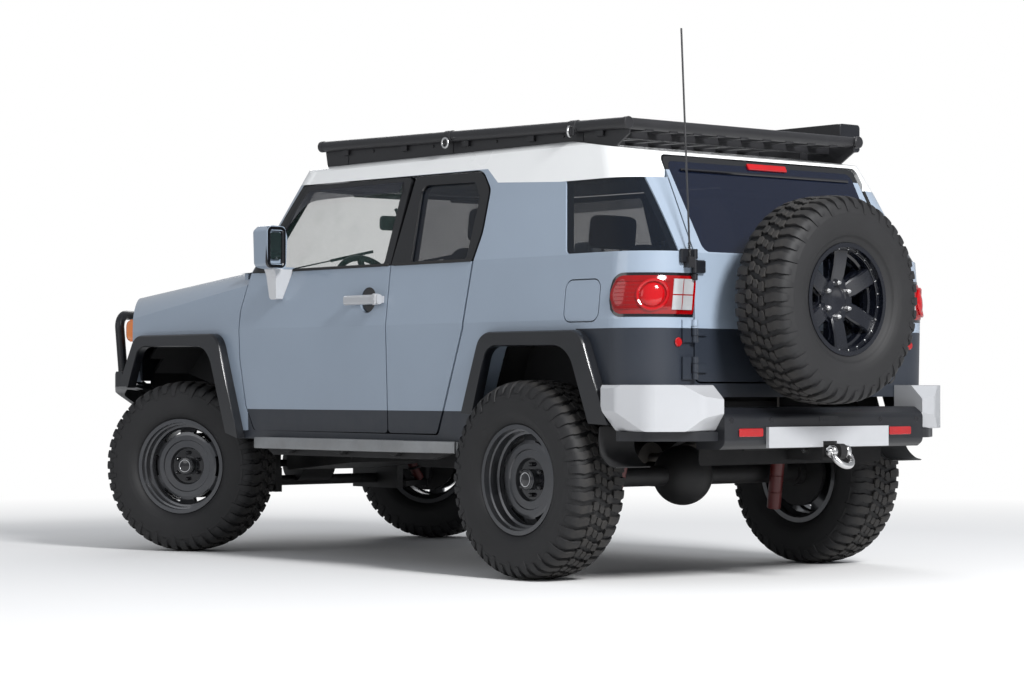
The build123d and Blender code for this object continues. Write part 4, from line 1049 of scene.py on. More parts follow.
@dataclass
class Palette:
    """Every material of the vehicle, by a plain word."""

    effects: Effects = field(default_factory=Effects.build)

    def __post_init__(self) -> None:
        """Makes the materials."""
        finishes = [
            Finish("roof_white", (0.83, 0.84, 0.84), 0.3, coat=0.6, bump=0.06, mottle=0.015, **SPRAYED),
            Finish("paint", BODY_BLUE, dust=0.12, **BODY_PAINT),
            PanelPaint("door_paint", BODY_BLUE, dust=0.10, frame_above=BELT_Z - 0.004, cladding_below=0.700,
                       **BODY_PAINT),
            PanelPaint("shell_paint", BODY_BLUE, dust=0.10, cladding_below=CLADDING_TOP,
                       cladding_from_y=REAR_AXLE_Y + 0.30, rocker_below=0.70, **BODY_PAINT),
            PanelPaint("back_door_paint", BODY_BLUE, dust=0.10, frame_above=1.70, cladding_below=CLADDING_TOP,
                       **BODY_PAINT),
            TwoTone("mirror_paint", (0.60, 0.61, 0.63), 0.3, coat=0.6, bump=0.05, other=BODY_BLUE, axis=Axis.Z,
                    edge=1.352, **SPRAYED),
            Finish("cladding", (0.006, 0.007, 0.0095), 0.34, coat=0.25, scale=900.0, bump=0.12, dust=0.04,
                   dust_high=0.9),
            Finish("liner", (0.004, 0.004, 0.005), 0.85, bump=0.4, dust=0.03),
            Finish("frame_black", (0.004, 0.004, 0.005), 0.6, bump=0.12, dust=0.03, dust_high=0.8),
            Finish("rack_black", (0.014, 0.014, 0.016), 0.42, bump=0.3, scale=1200.0),
            Finish("gloss_black", (0.006, 0.006, 0.008), 0.16, coat=0.5, bump=0.03),
            Finish("bumper_black", (0.007, 0.008, 0.011), 0.36, bump=0.2, scale=900.0, dust=0.03),
            Finish("silver", (0.50, 0.51, 0.53), 0.32, metallic=0.3, coat=0.5, pattern=Pattern.RIPPLE, scale=200.0,
                   bump=0.05, mottle=0.03, dust=0.12, dust_high=0.9),
            Finish("step_silver", (0.26, 0.27, 0.28), 0.42, metallic=0.6, bump=0.2, dust=0.3, dust_high=0.8),
            Finish("zinc", (0.60, 0.60, 0.60), 0.28, metallic=1.0, bump=0.08, mottle=0.1),
            Finish("chrome", (0.80, 0.80, 0.81), 0.08, metallic=1.0, bump=0.02, mottle=0.03),
            Finish("steel", (0.16, 0.15, 0.14), 0.45, metallic=0.8, bump=0.3, mottle=0.25, dust=0.15),
            Finish("cast", (0.020, 0.020, 0.022), 0.6, metallic=0.4, bump=0.5, mottle=0.3, dust=0.05),
            Finish("gunmetal", (0.070, 0.073, 0.080), 0.30, metallic=0.7, coat=0.5, pattern=Pattern.RIPPLE,
                   scale=260.0, bump=0.06, mottle=0.06, dust=0.10, dust_high=0.75),
            Finish("wheel_black", (0.004, 0.005, 0.009), 0.26, metallic=0.1, coat=0.4, bump=0.06),
            TreadRubber("tread_rubber", (0.0065, 0.0065, 0.0075), 0.66, scale=500.0, bump=0.25),
            Finish("seal_rubber", (0.012, 0.012, 0.013), 0.65, bump=0.1),
            Finish("whip", (0.02, 0.02, 0.022), 0.35, bump=0.05),
            Finish("red_paint", (0.085, 0.006, 0.006), 0.45, coat=0.1, dust=0.05),
            Finish("mirror_face", (0.72, 0.78, 0.82), 0.02, metallic=1.0, bump=0.0, mottle=0.01),
            Finish("red_lens", (0.24, 0.0008, 0.002), 0.10, coat=0.15, bump=0.02),
            Finish("red_bright", (0.40, 0.002, 0.005), 0.10, coat=0.15, bump=0.02),
            Finish("red_reflector", (0.34, 0.006, 0.008), 0.2, coat=0.6, scale=300.0, bump=0.5, depth=0.001),
            Finish("orange_lens", (0.85, 0.22, 0.02), 0.12, **LENS),
            Finish("white_lens", (0.80, 0.82, 0.84), 0.1, **LENS),
            TwoTone("lamp_pair", (0.80, 0.82, 0.84), 0.1, other=(0.85, 0.20, 0.02), edge=0.69, **LENS),
            Finish("lamp_silver", (0.62, 0.63, 0.65), 0.14, metallic=0.5, coat=0.9, bump=0.02),
            Glazing("glass_clear", (0.07, 0.12, 0.11), 0.02, clear=0.86),
            Glazing("glass_dark", (0.004, 0.007, 0.013), 0.02, clear=0.40),
            Glazing("glass_rear", (0.003, 0.006, 0.018), 0.02, clear=0.14, heated=True),
            Glazing("visor_smoke", (0.012, 0.014, 0.024), 0.05, clear=0.50),
            Finish("cabin_dark", (0.035, 0.036, 0.04), 0.6, bump=0.3, scale=700.0),
            Finish("cabin_mid", (0.085, 0.087, 0.09), 0.62, bump=0.3, scale=700.0),
            Finish("cabin_light", (0.34, 0.34, 0.33), 0.75, bump=0.3, scale=700.0),
            Finish("seat_cloth", (0.035, 0.037, 0.042), scale=260.0, bump=0.5, depth=0.0008, **SEAT_CLOTH),
            Finish("seat_panel", (0.10, 0.105, 0.115), scale=180.0, bump=0.6, depth=0.0010, **SEAT_CLOTH),
        ]
        self.made = {finish.name: finish.make(self.effects) for finish in finishes}

    def __getitem__(self, word: str) -> bpy.types.Material:
        """The material with that name."""
        return self.made[word]


@dataclass
class Dresser:
    """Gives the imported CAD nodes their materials: a finish, and the nodes that take it."""

    palette: Palette
    nodes: dict[str, bpy.types.Object]
    plan: dict[str, tuple[str, ...]] = field(
        default_factory=lambda: {
            "paint": ("bonnet", "front_fenders", "fuel_flap"),
            "door_paint": ("front_door_left", "front_door_right", "rear_door_left", "rear_door_right"),
            "shell_paint": ("body_shell",),
            "back_door_paint": ("back_door",),
            "roof_white": ("roof_panel",),
            "mirror_paint": ("mirror_left", "mirror_right"),
            "cladding": ("arch_flares", "grille_panel"),
            "liner": ("arch_liners", "floor_pan", "fuel_tank"),
            "silver": ("bumper_corners", "door_handle_left", "door_handle_right"),
            "step_silver": ("side_steps",),
            "bumper_black": ("front_bumper", "rear_bumper", "spare_carrier"),
            "rack_black": ("awning_case", "roof_rack"),
            "frame_black": ("chassis_frame", "front_suspension", "propeller_shaft", "rear_axle", "rear_suspension",
                            "tow_hitch"),
            "cast": ("engine_and_gearbox", "knuckle_left", "knuckle_right"),
            "steel": ("exhaust",),
            "gunmetal": ("front_left_rim", "front_right_rim", "rear_left_rim", "rear_right_rim"),
            "wheel_black": ("spare_rim",),
            "whip": ("antenna",),
            "lamp_pair": ("front_lamps",),
            "gloss_black": ("tail_lamps",),
            "glass_clear": ("front_glass_left", "front_glass_right", "windscreen"),
            "glass_dark": ("quarter_glass", "rear_glass_left", "rear_glass_right"),
            "glass_rear": ("back_glass",),
            "cabin_dark": ("dashboard", "steering_wheel"),
            "seat_cloth": ("cabin_chairs",),
        }
    )

    def dress(self) -> None:
        """Puts each node's material in its slots."""
        for word, names in self.plan.items():
            for name in names:
                for slot in self.nodes[name].material_slots:
                    slot.material = self.palette[word]


@dataclass
class Tyre:
    """Mud tyre with cleated tread, built about its own axle and carried to each wheel."""

    radius: float = TYRE_RADIUS
    half: float = TYRE_HALF
    pitches: int = 46
    steps: int = 184
    groove: float = 0.0135
    bead: float = 0.222

    def carcass_line(self) -> Array:
        """Half section of the casing, from the tread's middle to the bead.

        Returns:
            (along, out) pairs.
        """
        base = self.radius - self.groove
        line = [
            (0.0, base),
            (0.045, base - 0.0005),
            (0.085, base - 0.003),
            (0.112, base - 0.009),
            (0.128, base - 0.020),
            (0.1385, base - 0.040),
            (0.1445, base - 0.068),
            (self.half - 0.0005, base - 0.095),
            (0.1435, base - 0.122),
            (0.134, base - 0.148),
            (0.121, base - 0.164),
            (0.112, self.bead + 0.012),
            (0.104, self.bead),
        ]
        return smooth_line(line, 5)

    def tread_uv(self, points: Array, share: float = 1.0) -> Array:
        """Pattern coordinates: 0, and the share of the way from the bead's radius to the tread's.

        Args:
            points: Points of the tyre about its own axle.
            share: Factor of the second coordinate.

        Returns:
            Two coordinates for each point.
        """
        out = np.hypot(points[:, 1], points[:, 2])
        return np.stack([np.zeros(len(out)), (out - self.bead) / (self.radius - self.bead) * share], axis=1)

    def carcass(self, shape: Shape) -> None:
        """Smooth casing turned about the axle, with three fine rings moulded in each wall as bell curves.

        Args:
            shape: Shape to add it to.
        """
        half = self.carcass_line()
        ring = np.zeros(len(half))
        for centre, width, height in ((0.262, 0.0022, 0.0014), (0.275, 0.0022, 0.0014), (0.352, 0.0030, 0.0016)):
            ring += height * np.exp(-(((half[:, 1] - centre) / width) ** 2))
        outer = half + np.stack([ring, np.zeros(len(half))], axis=1)
        inner = [(0.090, self.bead + 0.004), (0.110, 0.262), (0.112, 0.340), (0.080, 0.384), (0.0, 0.390)]
        right = np.vstack([outer, smooth_line(inner, 3)])
        left = right[::-1] * (-1, 1)
        rings = revolved(np.vstack([right, left[1:-1]]), self.steps)
        shape.hoop(rings, self.tread_uv(rings.reshape(-1, 3), 0.86))

    def cleats(self, shape: Shape, block: tuple[Array, Array, Array], faces: Array, shift: float, flip: int,
               count: int) -> None:
        """Bends one flat cleat round the axle at each pitch: angle = (pitch number + shift) step + across / radius.

        Args:
            shape: Shape to add them to.
            block: Along the axle, across it and out from it, for each of the cleat's points.
            faces: The cleat's faces.
            shift: Place of the first cleat, in steps.
            flip: 1, or -1 for the tread's other half.
            count: Number of cleats round the tyre.
        """
        along, across, out = block
        angle = (np.arange(count)[:, None] + shift) * (2 * math.pi / count) + across[None, :] / self.radius
        x, r, a = np.broadcast_arrays(flip * along, out, angle)
        points = np.stack([x, r * np.cos(a), r * np.sin(a)], axis=-1).reshape(-1, 3)
        offset = (np.arange(count) * len(along))[:, None, None]
        shape.add(points, (faces[None] + offset).reshape(-1, faces.shape[1]), uv=self.tread_uv(points))

    def shoulder_cleats(self, shape: Shape, flip: int) -> None:
        """Cross bars, long and short by turns, that run over the shoulder and part of the way down the wall.

        Each station s along the casing has a trapezoid across it: foot, bevelled top, foot. The bar sways by a
        sine on the tread.

        Args:
            shape: Shape to add them to.
            flip: 1, or -1 for the tread's other half.
        """
        tread_from, tread_to = 0.054, 0.116
        line = self.carcass_line()
        length = np.concatenate([[0], np.cumsum(np.linalg.norm(np.diff(line, axis=0), axis=1))])
        slope = np.gradient(line, length, axis=0)
        normal = np.stack([-slope[:, 1], slope[:, 0]], axis=1)
        across_shape = np.array([-1.0, -0.86, 0.0, 0.86, 1.0])
        lift = np.array([-0.10, 0.93, 1.0, 0.93, -0.10])
        for shift, ends_at, half_width in ((0.0, 0.178, 0.0190), (0.5, 0.158, 0.0205)):
            s = np.concatenate([np.linspace(tread_from, tread_to, 6), np.linspace(0.124, ends_at, 6)])
            x, r = (np.interp(s, length, line[:, axis]) for axis in (0, 1))
            nx, nr = (np.interp(s, length, normal[:, axis]) for axis in (0, 1))
            height = np.interp(s, [0.05, 0.10, 0.125, 0.15, ends_at], [0.0132, 0.0128, 0.0105, 0.0060, 0.0035])
            narrow = np.interp(s, [0.05, 0.075, 0.12, 0.15, ends_at], [0.84, 1.0, 1.0, 0.86, 0.55]) * half_width
            wave = np.sin((s - tread_from) / (tread_to - tread_from) * 2 * math.pi)
            sway = 0.0035 * wave * (s < tread_to) + 0.004 * (s < 0.06)
            across = sway[:, None] + narrow[:, None] * across_shape
            up = height[:, None] * lift
            along = np.minimum(x[:, None] + nx[:, None] * up, self.half)
            out = np.minimum(r[:, None] + nr[:, None] * up, self.radius)
            rows, cols = across.shape
            left = np.arange(rows - 1) * cols
            right = left + cols - 1
            under = np.stack([left, left + cols, right + cols, right], axis=1)
            cap = np.array([[0, 1, 3, 4]])
            faces = np.vstack([grid_quads(rows, cols), cap, cap[:, ::-1] + (rows - 1) * cols, under])
            self.cleats(shape, (along.ravel(), across.ravel(), out.ravel()), faces, shift, flip, self.pitches // 2)

    def centre_blocks(self, shape: Shape) -> None:
        """Three staggered columns of slanted blocks: an outline lifted in two steps, the upper one drawn in.

        Args:
            shape: Shape to add them to.
        """
        outer = np.array([(-0.0150, -0.016), (0.0030, -0.0215), (0.0150, -0.012), (0.0140, 0.017), (-0.0030, 0.021),
                          (-0.0160, 0.009)])
        middle = np.array([(-0.0125, -0.019), (0.0050, -0.016), (0.0135, -0.003), (0.0120, 0.019),
                           (-0.0050, 0.016), (-0.0140, 0.003)])
        ends = [[12, 13, 14, 15], [12, 15, 16, 17], [3, 2, 1, 0], [5, 4, 3, 0]]
        faces = np.vstack([grid_quads(3, 6, round_cols=True), ends])
        foot, edge, top = self.radius - self.groove - 0.002, self.radius - 0.0022, self.radius - 0.0004
        columns = ((0.034, outer, 0.25, 1), (0.034, outer, 0.75, -1), (0.0, middle, 0.0, 1))
        for centre, outline, shift, flip in columns:
            rings = stacked([(outline, foot), (outline, edge), (inset(outline, 0.0016), top)]).reshape(-1, 3)
            block = (rings[:, 0] + centre, flip * rings[:, 1], rings[:, 2])
            self.cleats(shape, block, faces, shift, flip, self.pitches)

    def make(self, name: str, body: str, node: str, place: Matrix, palette: Palette) -> bpy.types.Object:
        """Makes one tyre.

        Args:
            name: The piece's name.
            body: CAD body that it rides on.
            node: CAD node that it stands for.
            place: Where its centre and axle go; its outer wall faces the place's X.
            palette: The materials.

        Returns:
            The tyre.
        """
        shape = Shape()
        self.carcass(shape)
        for flip in (1, -1):
            self.shoulder_cleats(shape, flip)
        self.centre_blocks(shape)
        shape.points = [placed(points, place) for points in shape.points]
        tyre = shape.make(name, body, "tyre", [palette["tread_rubber"]], angle=28.0)
        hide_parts(node)
        return tyre


@dataclass
class Wheels:
    """Tyres and wheel trim of the four road wheels and the spare."""

    palette: Palette
    track: float = 0.844
    kingpin: float = 0.700
    steer: float = 28.3
    tyre: Tyre = field(default_factory=Tyre)
    spare_tyre: Tyre = field(default_factory=lambda: Tyre(radius=0.429))

    def places(self) -> dict[str, tuple[str, Matrix]]:
        """Where the five wheels stand.

        Returns:
            Body and place of each wheel by its name; the place's X points out of the wheel's face.
        """
        found = {}
        for side in Side:
            for end, y in (("front", FRONT_AXLE_Y), ("rear", REAR_AXLE_Y)):
                middle = Matrix.Translation((side.value * self.track, y, AXLE_Z))
                if end == "front":
                    pin = Matrix.Translation((side.value * self.kingpin, y, 0))
                    turn = Matrix.Rotation(math.radians(self.steer), 4, "Z")
                    middle = pin @ turn @ pin.inverted() @ middle
                if side is Side.RIGHT:
                    middle = middle @ Matrix.Rotation(math.pi, 4, "Z")
                found[f"{end}_{side.word}"] = (f"{end}_{side.word}_wheel", middle)
        low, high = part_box("spare_tyre")
        centre = (low + high) / 2
        found["spare"] = ("back_door_body", Matrix.Translation(centre) @ Matrix.Rotation(math.pi / 2, 4, "Z"))
        return found

    def spokes(self, body: str, place: Matrix) -> None:
        """Six broad spokes of the spare wheel that rise from the hub to the bead, and a ring with small bolts.

        Each spoke is a trapezoid section whose top rises with the distance from the hub.

        Args:
            body: CAD body that it rides on.
            place: Where the wheel's centre and axle go.
        """
        dark, bright = Shape(), Shape()
        out = np.array([0.058, 0.075, 0.100, 0.140, 0.180, 0.2095])
        top = np.array([0.050, 0.054, 0.064, 0.075, 0.082, 0.086])
        wide = np.array([0.026, 0.034, 0.038, 0.037, 0.038, 0.042])
        across = np.array([-1.0, -0.97, -0.80, 0.80, 0.97, 1.0])
        rise = np.array([0.0, 0.86, 1.0, 1.0, 0.86, 0.0])
        foot = 0.026
        high = foot + (top[:, None] - foot) * rise
        rings = np.stack([high, wide[:, None] * across, np.broadcast_to(out[:, None], high.shape)], axis=-1)
        for number in range(6):
            turn = Matrix.Rotation(number * math.pi / 3, 4, "X")
            dark.loft(placed(placed(rings, turn), place))
        bead_ring = [(0.074, 0.2075), (0.088, 0.2015), (0.0905, 0.2035), (0.0905, 0.2125), (0.074, 0.2125)]
        dark.spin(bead_ring, place, 72)
        hub = [(0.030, 0.0002), (0.047, 0.0002), (0.047, 0.030), (0.049, 0.034), (0.049, 0.052), (0.0535, 0.056),
               (0.0535, 0.086), (0.048, 0.090), (0.030, 0.090)]
        dark.spin(hub, place, 60)
        for number in range(24):
            bright.plate(circle(0.0032, 8), around(place, (number + 0.5) / 24, 0.2078), 0.089, 0.0935, 0.001)
        dark.make("spare_spokes", body, "spare_rim", [self.palette["wheel_black"]], 30)
        bright.make("spare_ring_bolts", body, "bright_steel", [self.palette["zinc"]])

    def nuts(self, shape: Shape, place: Matrix, face: float, out: float) -> None:
        """Six wheel nuts, each a hexagon with a round end.

        Args:
            shape: Shape to add them to.
            place: Where the wheel's centre and axle go.
            face: Height of the wheel's face along the axle.
            out: Distance of the nuts from the axle.
        """
        for number in range(6):
            spot = around(place, (number + 0.5) / 6, out)
            shape.plate(circle(0.0105, 6), spot, face - 0.006, face + 0.016, 0.002)
            shape.plate(circle(0.0078, 12), spot, face + 0.012, face + 0.022, 0.003)

    def trim(self, name: str, body: str, place: Matrix) -> None:
        """Wheel nuts of one wheel, with the spare's spokes or a road wheel's hub ring, dome and bright lip.

        Args:
            name: The wheel's name.
            body: CAD body that it rides on.
            place: Where the wheel's centre and axle go.
        """
        bright = Shape()
        if name == "spare":
            self.spokes(body, place)
            self.nuts(bright, place, 0.0535, 0.0700)
            bright.make(f"{name}_bright_parts", body, "rim", [self.palette["zinc"]])
            return
        plain = Shape()
        plain.spin([(0.0262, 0.0475), (0.0262, 0.0825), (0.0285, 0.0825), (0.0285, 0.0475)], place)
        dome = [(0.054, 0.0002), (0.054, 0.0445), (0.0655, 0.0405), (0.0685, 0.034), (0.0690, 0.0002)]
        plain.spin(dome, place, 40)
        self.nuts(plain, place, 0.0275, 0.0640)
        plain.make(f"{name}_hub_plate", body, "rim", [self.palette["gloss_black"]])
        bright.spin([(0.0685, 0.0265), (0.0705, 0.0275), (0.0705, 0.0305), (0.0685, 0.0315)], place, 40)
        bright.make(f"{name}_bright_parts", body, "rim", [self.palette["chrome"]])

    def build(self) -> None:
        """Makes the five wheels' pieces."""
        for name, (body, place) in self.places().items():
            tyre = self.spare_tyre if name == "spare" else self.tyre
            tyre.make(f"{name}_treaded_tyre", body, f"{name}_tyre", place, self.palette)
            self.trim(name, body, place)


@dataclass
class Lamps:
    """Rear, high and front lamps, built over the plain CAD lamps."""

    palette: Palette
    low: float = 1.089
    high: float = 1.262
    start: float = 0.005
    end: float = 0.395
    nose: float = 0.062
    bulb: tuple[float, float] = (0.190, 1.1755)
    tail_normal: Point = (0, 0.8846, 0.4664)
    marker: Point = (0.700, 1.9395, 0.985)
    reflector: Point = (0.451, 2.1045, 0.619)
    head_lamp: Point = (0.560, -2.0395, 1.040)
    corner_lamp: Point = (0.745, -1.984, 1.093)

    def strip(self, shape: Shape, s_low: float, s_high: float, rim: float, out: float, bulge: float) -> None:
        """Lens that follows the corner, its forward end rounded: each station bulges as 1 - v^4.

        Args:
            shape: Shape to add it to.
            s_low: Where it starts along the corner's outline.
            s_high: Where it ends.
            rim: How far it stays inside the lamp's outline.
            out: Height of its edge over the body.
            bulge: Further height of its middle.
        """
        s = np.linspace(s_low, s_high, 40)
        middle, half = (self.low + self.high) / 2, (self.high - self.low) / 2 - rim
        radius = self.nose - rim
        ahead = np.clip(radius - (s - self.start - rim), 0, radius)
        room = half - radius + np.sqrt(radius**2 - ahead**2)
        v = np.linspace(-1, 1, 15)
        z = middle + room[:, None] * v
        self.wall(shape, s[:, None], z, out + bulge * (1 - v**4), -0.004)

    def wall(self, shape: Shape, s: Array, z: Array, out: Array | float, back: float) -> None:
        """Closed skin on the rear corner between two heights over the body.

        Args:
            shape: Shape to add it to.
            s: Lengths along the corner's outline.
            z: Heights, on the grid of s.
            out: Height of its face over the body.
            back: Height of its underside over the body.
        """
        s, z = np.broadcast_arrays(s, z)
        rings = [round_corner(s, z, out), round_corner(s, z, back)[:, ::-1]]
        shape.loft(np.concatenate(rings, axis=1))

    def inner_lens(self, shape: Shape, s_low: float, s_high: float, low: float, high: float) -> None:
        """Small flat lens that follows the corner.

        Args:
            shape: Shape to add it to.
            s_low: Where it starts along the corner's outline.
            s_high: Where it ends.
            low: Its lower edge.
            high: Its upper edge.
        """
        self.wall(shape, np.linspace(s_low, s_high, 8)[:, None], np.array([[low, high]]), 0.0125, 0.004)

    def dome(self, shape: Shape, rings: list[tuple[float, float]]) -> None:
        """Round form wrapped on the corner: s = middle + r cos a, z = height + r sin a, lifted ring by ring.

        Args:
            shape: Shape to add it to.
            rings: Radius and height over the body of each ring.
        """
        a = full_turn(48)
        s, z = self.bulb
        foot = (rings[0][0], 0.0)
        lifted = [round_corner(s + r * np.cos(a), z + r * np.sin(a), out) for r, out in (foot, *rings)]
        shape.loft(np.stack(lifted))

    def rear(self) -> None:
        """Rim, ribbed red lens, round bulb lens and silver inner lenses of both rear lamps."""
        p = self.palette
        shape = Shape()
        self.strip(shape, self.start - 0.003, self.end + 0.002, -0.003, 0.0015, 0.0)
        shape.both_sides().make("rear_lamp_rims", VEHICLE, "black_plastic", [p["gloss_black"]])
        shape = Shape()
        self.strip(shape, self.start + 0.009, self.end - 0.005, 0.009, 0.003, 0.008)
        s = np.linspace(0.034, 0.255, 30)
        for z in np.arange(self.low + 0.030, self.high - 0.028, 0.016):
            shape.tube(round_corner(s, np.full(30, z), 0.0105), circle(0.0016, 6))
        shape.both_sides().make("rear_lamp_red_lenses", VEHICLE, "red_lens", [p["red_lens"]], 40)
        shape = Shape()
        for low, high in ((self.low + 0.026, 1.173), (1.178, self.high - 0.022)):
            self.inner_lens(shape, 0.272, 0.318, low, high)
            self.inner_lens(shape, 0.323, 0.376, low, high)
        shape.both_sides().make("rear_lamp_clear_lenses", VEHICLE, "clear_lens", [p["lamp_silver"]], 40)
        shape = Shape()
        self.dome(shape, [(0.066, 0.004), (0.0655, 0.015), (0.060, 0.019), (0.0535, 0.0155), (0.053, 0.009)])
        self.dome(shape, [(0.050, 0.007), (0.046, 0.012), (0.032, 0.0165), (0.015, 0.019), (0.0004, 0.0195)])
        shape.both_sides().make("rear_lamp_bulb_lenses", VEHICLE, "red_lens", [p["red_bright"]], 40)

    def back_door(self) -> None:
        """Red lamp and narrow visor over the back glass."""
        lamp, visor = ((x, float(rear_face(z)), z) for x, z in ((-0.02, 1.735), (0, 1.700)))
        shape = Shape().plate(round_rect(0.235, 0.030, 0.006), facing(lamp, self.tail_normal), -0.004, 0.009, 0.003)
        shape.make("high_brake_lamp", BACK_DOOR, "red_lens", [self.palette["red_bright"]])
        shape = Shape().plate(round_rect(1.02, 0.012, 0.005), facing(visor, self.tail_normal), -0.002, 0.010, 0.003)
        shape.make("back_glass_visor", BACK_DOOR, "black_plastic", [self.palette["gloss_black"]])

    def markers(self) -> None:
        """Small round markers on the rear corners and long reflectors in the rear bumper."""
        for name, outline, (x, y, z), high, bevel in (
            ("rear_markers", circle(0.019, 24), self.marker, 0.008, 0.003),
            ("bumper_reflectors", round_rect(0.138, 0.034, 0.006), self.reflector, 0.006, 0.002),
        ):
            shape = Shape()
            for side in Side:
                shape.plate(outline, facing((side.value * x, y, z), REARWARD), 0, high, bevel)
            shape.make(name, VEHICLE, "red_lens", [self.palette["red_reflector"]])

    def front(self) -> None:
        """Rims and domes of the head lamps, and orange corner lamps."""
        rims, domes, corner_lamps = Shape(), Shape(), Shape()
        place = facing(self.head_lamp, (0.03, -1, 0)) @ Matrix.Rotation(-math.pi / 2, 4, "Y")
        rims.spin(circle(0.007, 12)[:, ::-1] + (0.002, 0.094), place, 64)
        b = np.linspace(0, math.pi / 2, 8)
        dome = np.stack([0.016 * np.sin(b), 0.088 * np.cos(b) + 0.0002], axis=1)
        domes.spin(np.vstack([[(-0.008, 0.0002), (-0.008, 0.088)], dome]), place, 64)
        rims.both_sides().make("head_lamp_rims", VEHICLE, "bright_steel", [self.palette["chrome"]], 60)
        domes.both_sides().make("head_lamp_domes", VEHICLE, "clear_lens", [self.palette["white_lens"]], 60)
        points, faces = pad((0.051, 0.062, 0.0575), 0.0, 0.0, 0.5, steps=(24, 48))
        x, y, z = self.corner_lamp
        for side in Side:
            corner_lamps.add(points + (side.value * x, y, z), faces)
        corner_lamps.make("corner_lamps", VEHICLE, "clear_lens", [self.palette["orange_lens"]], 60)

    def build(self) -> None:
        """Makes every lamp."""
        self.rear()
        self.back_door()
        self.markers()
        self.front()


@dataclass
class DoorTrim:
    """Cups, mirrors, belt strips, rain visors and the back door's outer hinge."""

    palette: Palette
    handle: tuple[float, float] = (0.133, 1.195)
    block_behind: float = 0.102
    mirror_y: float = -0.485
    belt_strip_z: float = 1.350
    pin: tuple[float, float] = (0.620, 1.956)
    pin_radius: float = 0.0125

    def handles(self, side: Side) -> None:
        """Round cup behind one front door's handle, and the block with the lock at its rear end.

        Args:
            side: The side.
        """
        sign, word, body = side.value, side.word, f"front_door_{side.word}_body"
        y, z = self.handle
        outward = (sign, 0, 0)
        cup = Shape().plate(circle(0.0572, 48), facing((sign * 0.8784, y, z), outward), 0, 0.0012)
        cup.make(f"handle_cup_{word}", body, "black_plastic", [self.palette["gloss_black"]])
        block = Shape()
        y += self.block_behind
        block.plate(round_rect(0.030, 0.052, 0.012), facing((sign * 0.930, y, z), outward), -0.02, 0.0085, 0.004)
        block.plate(circle(0.008, 20), facing((sign * 0.9385, y, z), outward), -0.002, 0.002, 0.001)
        block.make(f"handle_block_{word}", body, "silver_paint", [self.palette["silver"]])

    def mirror(self, side: Side) -> None:
        """Face of one door mirror, and its rim: an outline that steps in as it goes round the edge.

        Args:
            side: The side.
        """
        sign, word, body = side.value, side.word, f"front_door_{side.word}_body"
        place = facing((sign * 1.004, self.mirror_y + 0.0665, 1.457), REARWARD)
        glass = Shape().plate(round_rect(0.063, 0.128, 0.016), place, 0, 0.002)
        glass.make(f"mirror_face_{word}", body, "bright_steel", [self.palette["mirror_face"]])
        outline = round_rect(0.103, 0.192, 0.026, 7)
        place = facing((sign * 1.0, self.mirror_y + 0.0695, 1.451), REARWARD)
        steps = ((0.0, -0.016), (-0.002, -0.008), (0.001, 0.002), (0.012, 0.003), (0.019, -0.002), (0.022, -0.010))
        rim = Shape().hoop(placed(stacked([(inset(outline, amount), height) for amount, height in steps]), place))
        rim.make(f"mirror_rim_{word}", body, "black_plastic", [self.palette["gloss_black"]], 50)

    def strips(self, side: Side) -> None:
        """Rubber belt strips under the windows of both doors of one side.

        Args:
            side: The side.
        """
        x = side.value * (BELT_HALF + 0.002)
        for name, start, end in (("front", -0.732, 0.262), ("rear", 0.304, 0.838)):
            path = np.array([(x, y, self.belt_strip_z) for y in np.linspace(start, end, 8)])
            shape = Shape().tube(path, round_rect(0.009, 0.013, 0.003, 3))
            shape.make(f"belt_strip_{name}_{side.word}", f"{name}_door_{side.word}_body", "black_plastic",
                       [self.palette["seal_rubber"]])

    def visor(self, side: Side) -> None:
        """Smoked rain visor along the top and front of one front door's window: a thin sheet between two lines.

        Args:
            side: The side.
        """
        upper = smooth_line([(-0.628, 1.520), (-0.562, 1.630), (-0.512, 1.708), (-0.440, 1.729), (-0.2, 1.7305),
                             (0.0, 1.7305), (0.222, 1.7305)], 5)
        lower = smooth_line([(-0.606, 1.520), (-0.530, 1.612), (-0.462, 1.662), (-0.392, 1.676), (-0.2, 1.679),
                             (0.0, 1.680), (0.222, 1.681)], 5)
        rings = []
        for line, out in ((upper, 0.0010), (lower, 0.0130), (lower, 0.0108), (upper, -0.0012)):
            rings.append(np.column_stack([side.value * (side_half(line[:, 1]) + out), line]))
        shape = Shape().loft(np.stack(rings, axis=1))
        shape.make(f"rain_visor_{side.word}", f"front_door_{side.word}_body", "dark_glass",
                   [self.palette["visor_smoke"]])

    def back_hinge(self) -> None:
        """Black upper hinge of the back door: a leaf on the body and a leaf on the door, round one pin line."""
        barrel, pin = circle(self.pin_radius, 20), Matrix.Translation((*self.pin, 0))
        fixed = Shape().box((0.628, 1.9395, 1.305), (0.693, 1.958, 1.362), 0.004)
        fixed.plate(barrel, pin, 1.322, 1.362, 0.002).plate(barrel, pin, 1.236, 1.262, 0.002)
        fixed.make("back_hinge_fixed_leaf", VEHICLE, "black_plastic", [self.palette["bumper_black"]])
        moving = Shape().box((0.556, 1.9415, 1.266), (0.616, 1.958, 1.318), 0.004)
        moving.plate(barrel, pin, 1.264, 1.320, 0.002)
        moving.make("back_hinge_moving_leaf", BACK_DOOR, "black_plastic", [self.palette["bumper_black"]])

    def build(self) -> None:
        """Makes both sides and the back hinge."""
        for side in Side:
            self.handles(side)
            self.mirror(side)
            self.strips(side)
            self.visor(side)
        self.back_hinge()


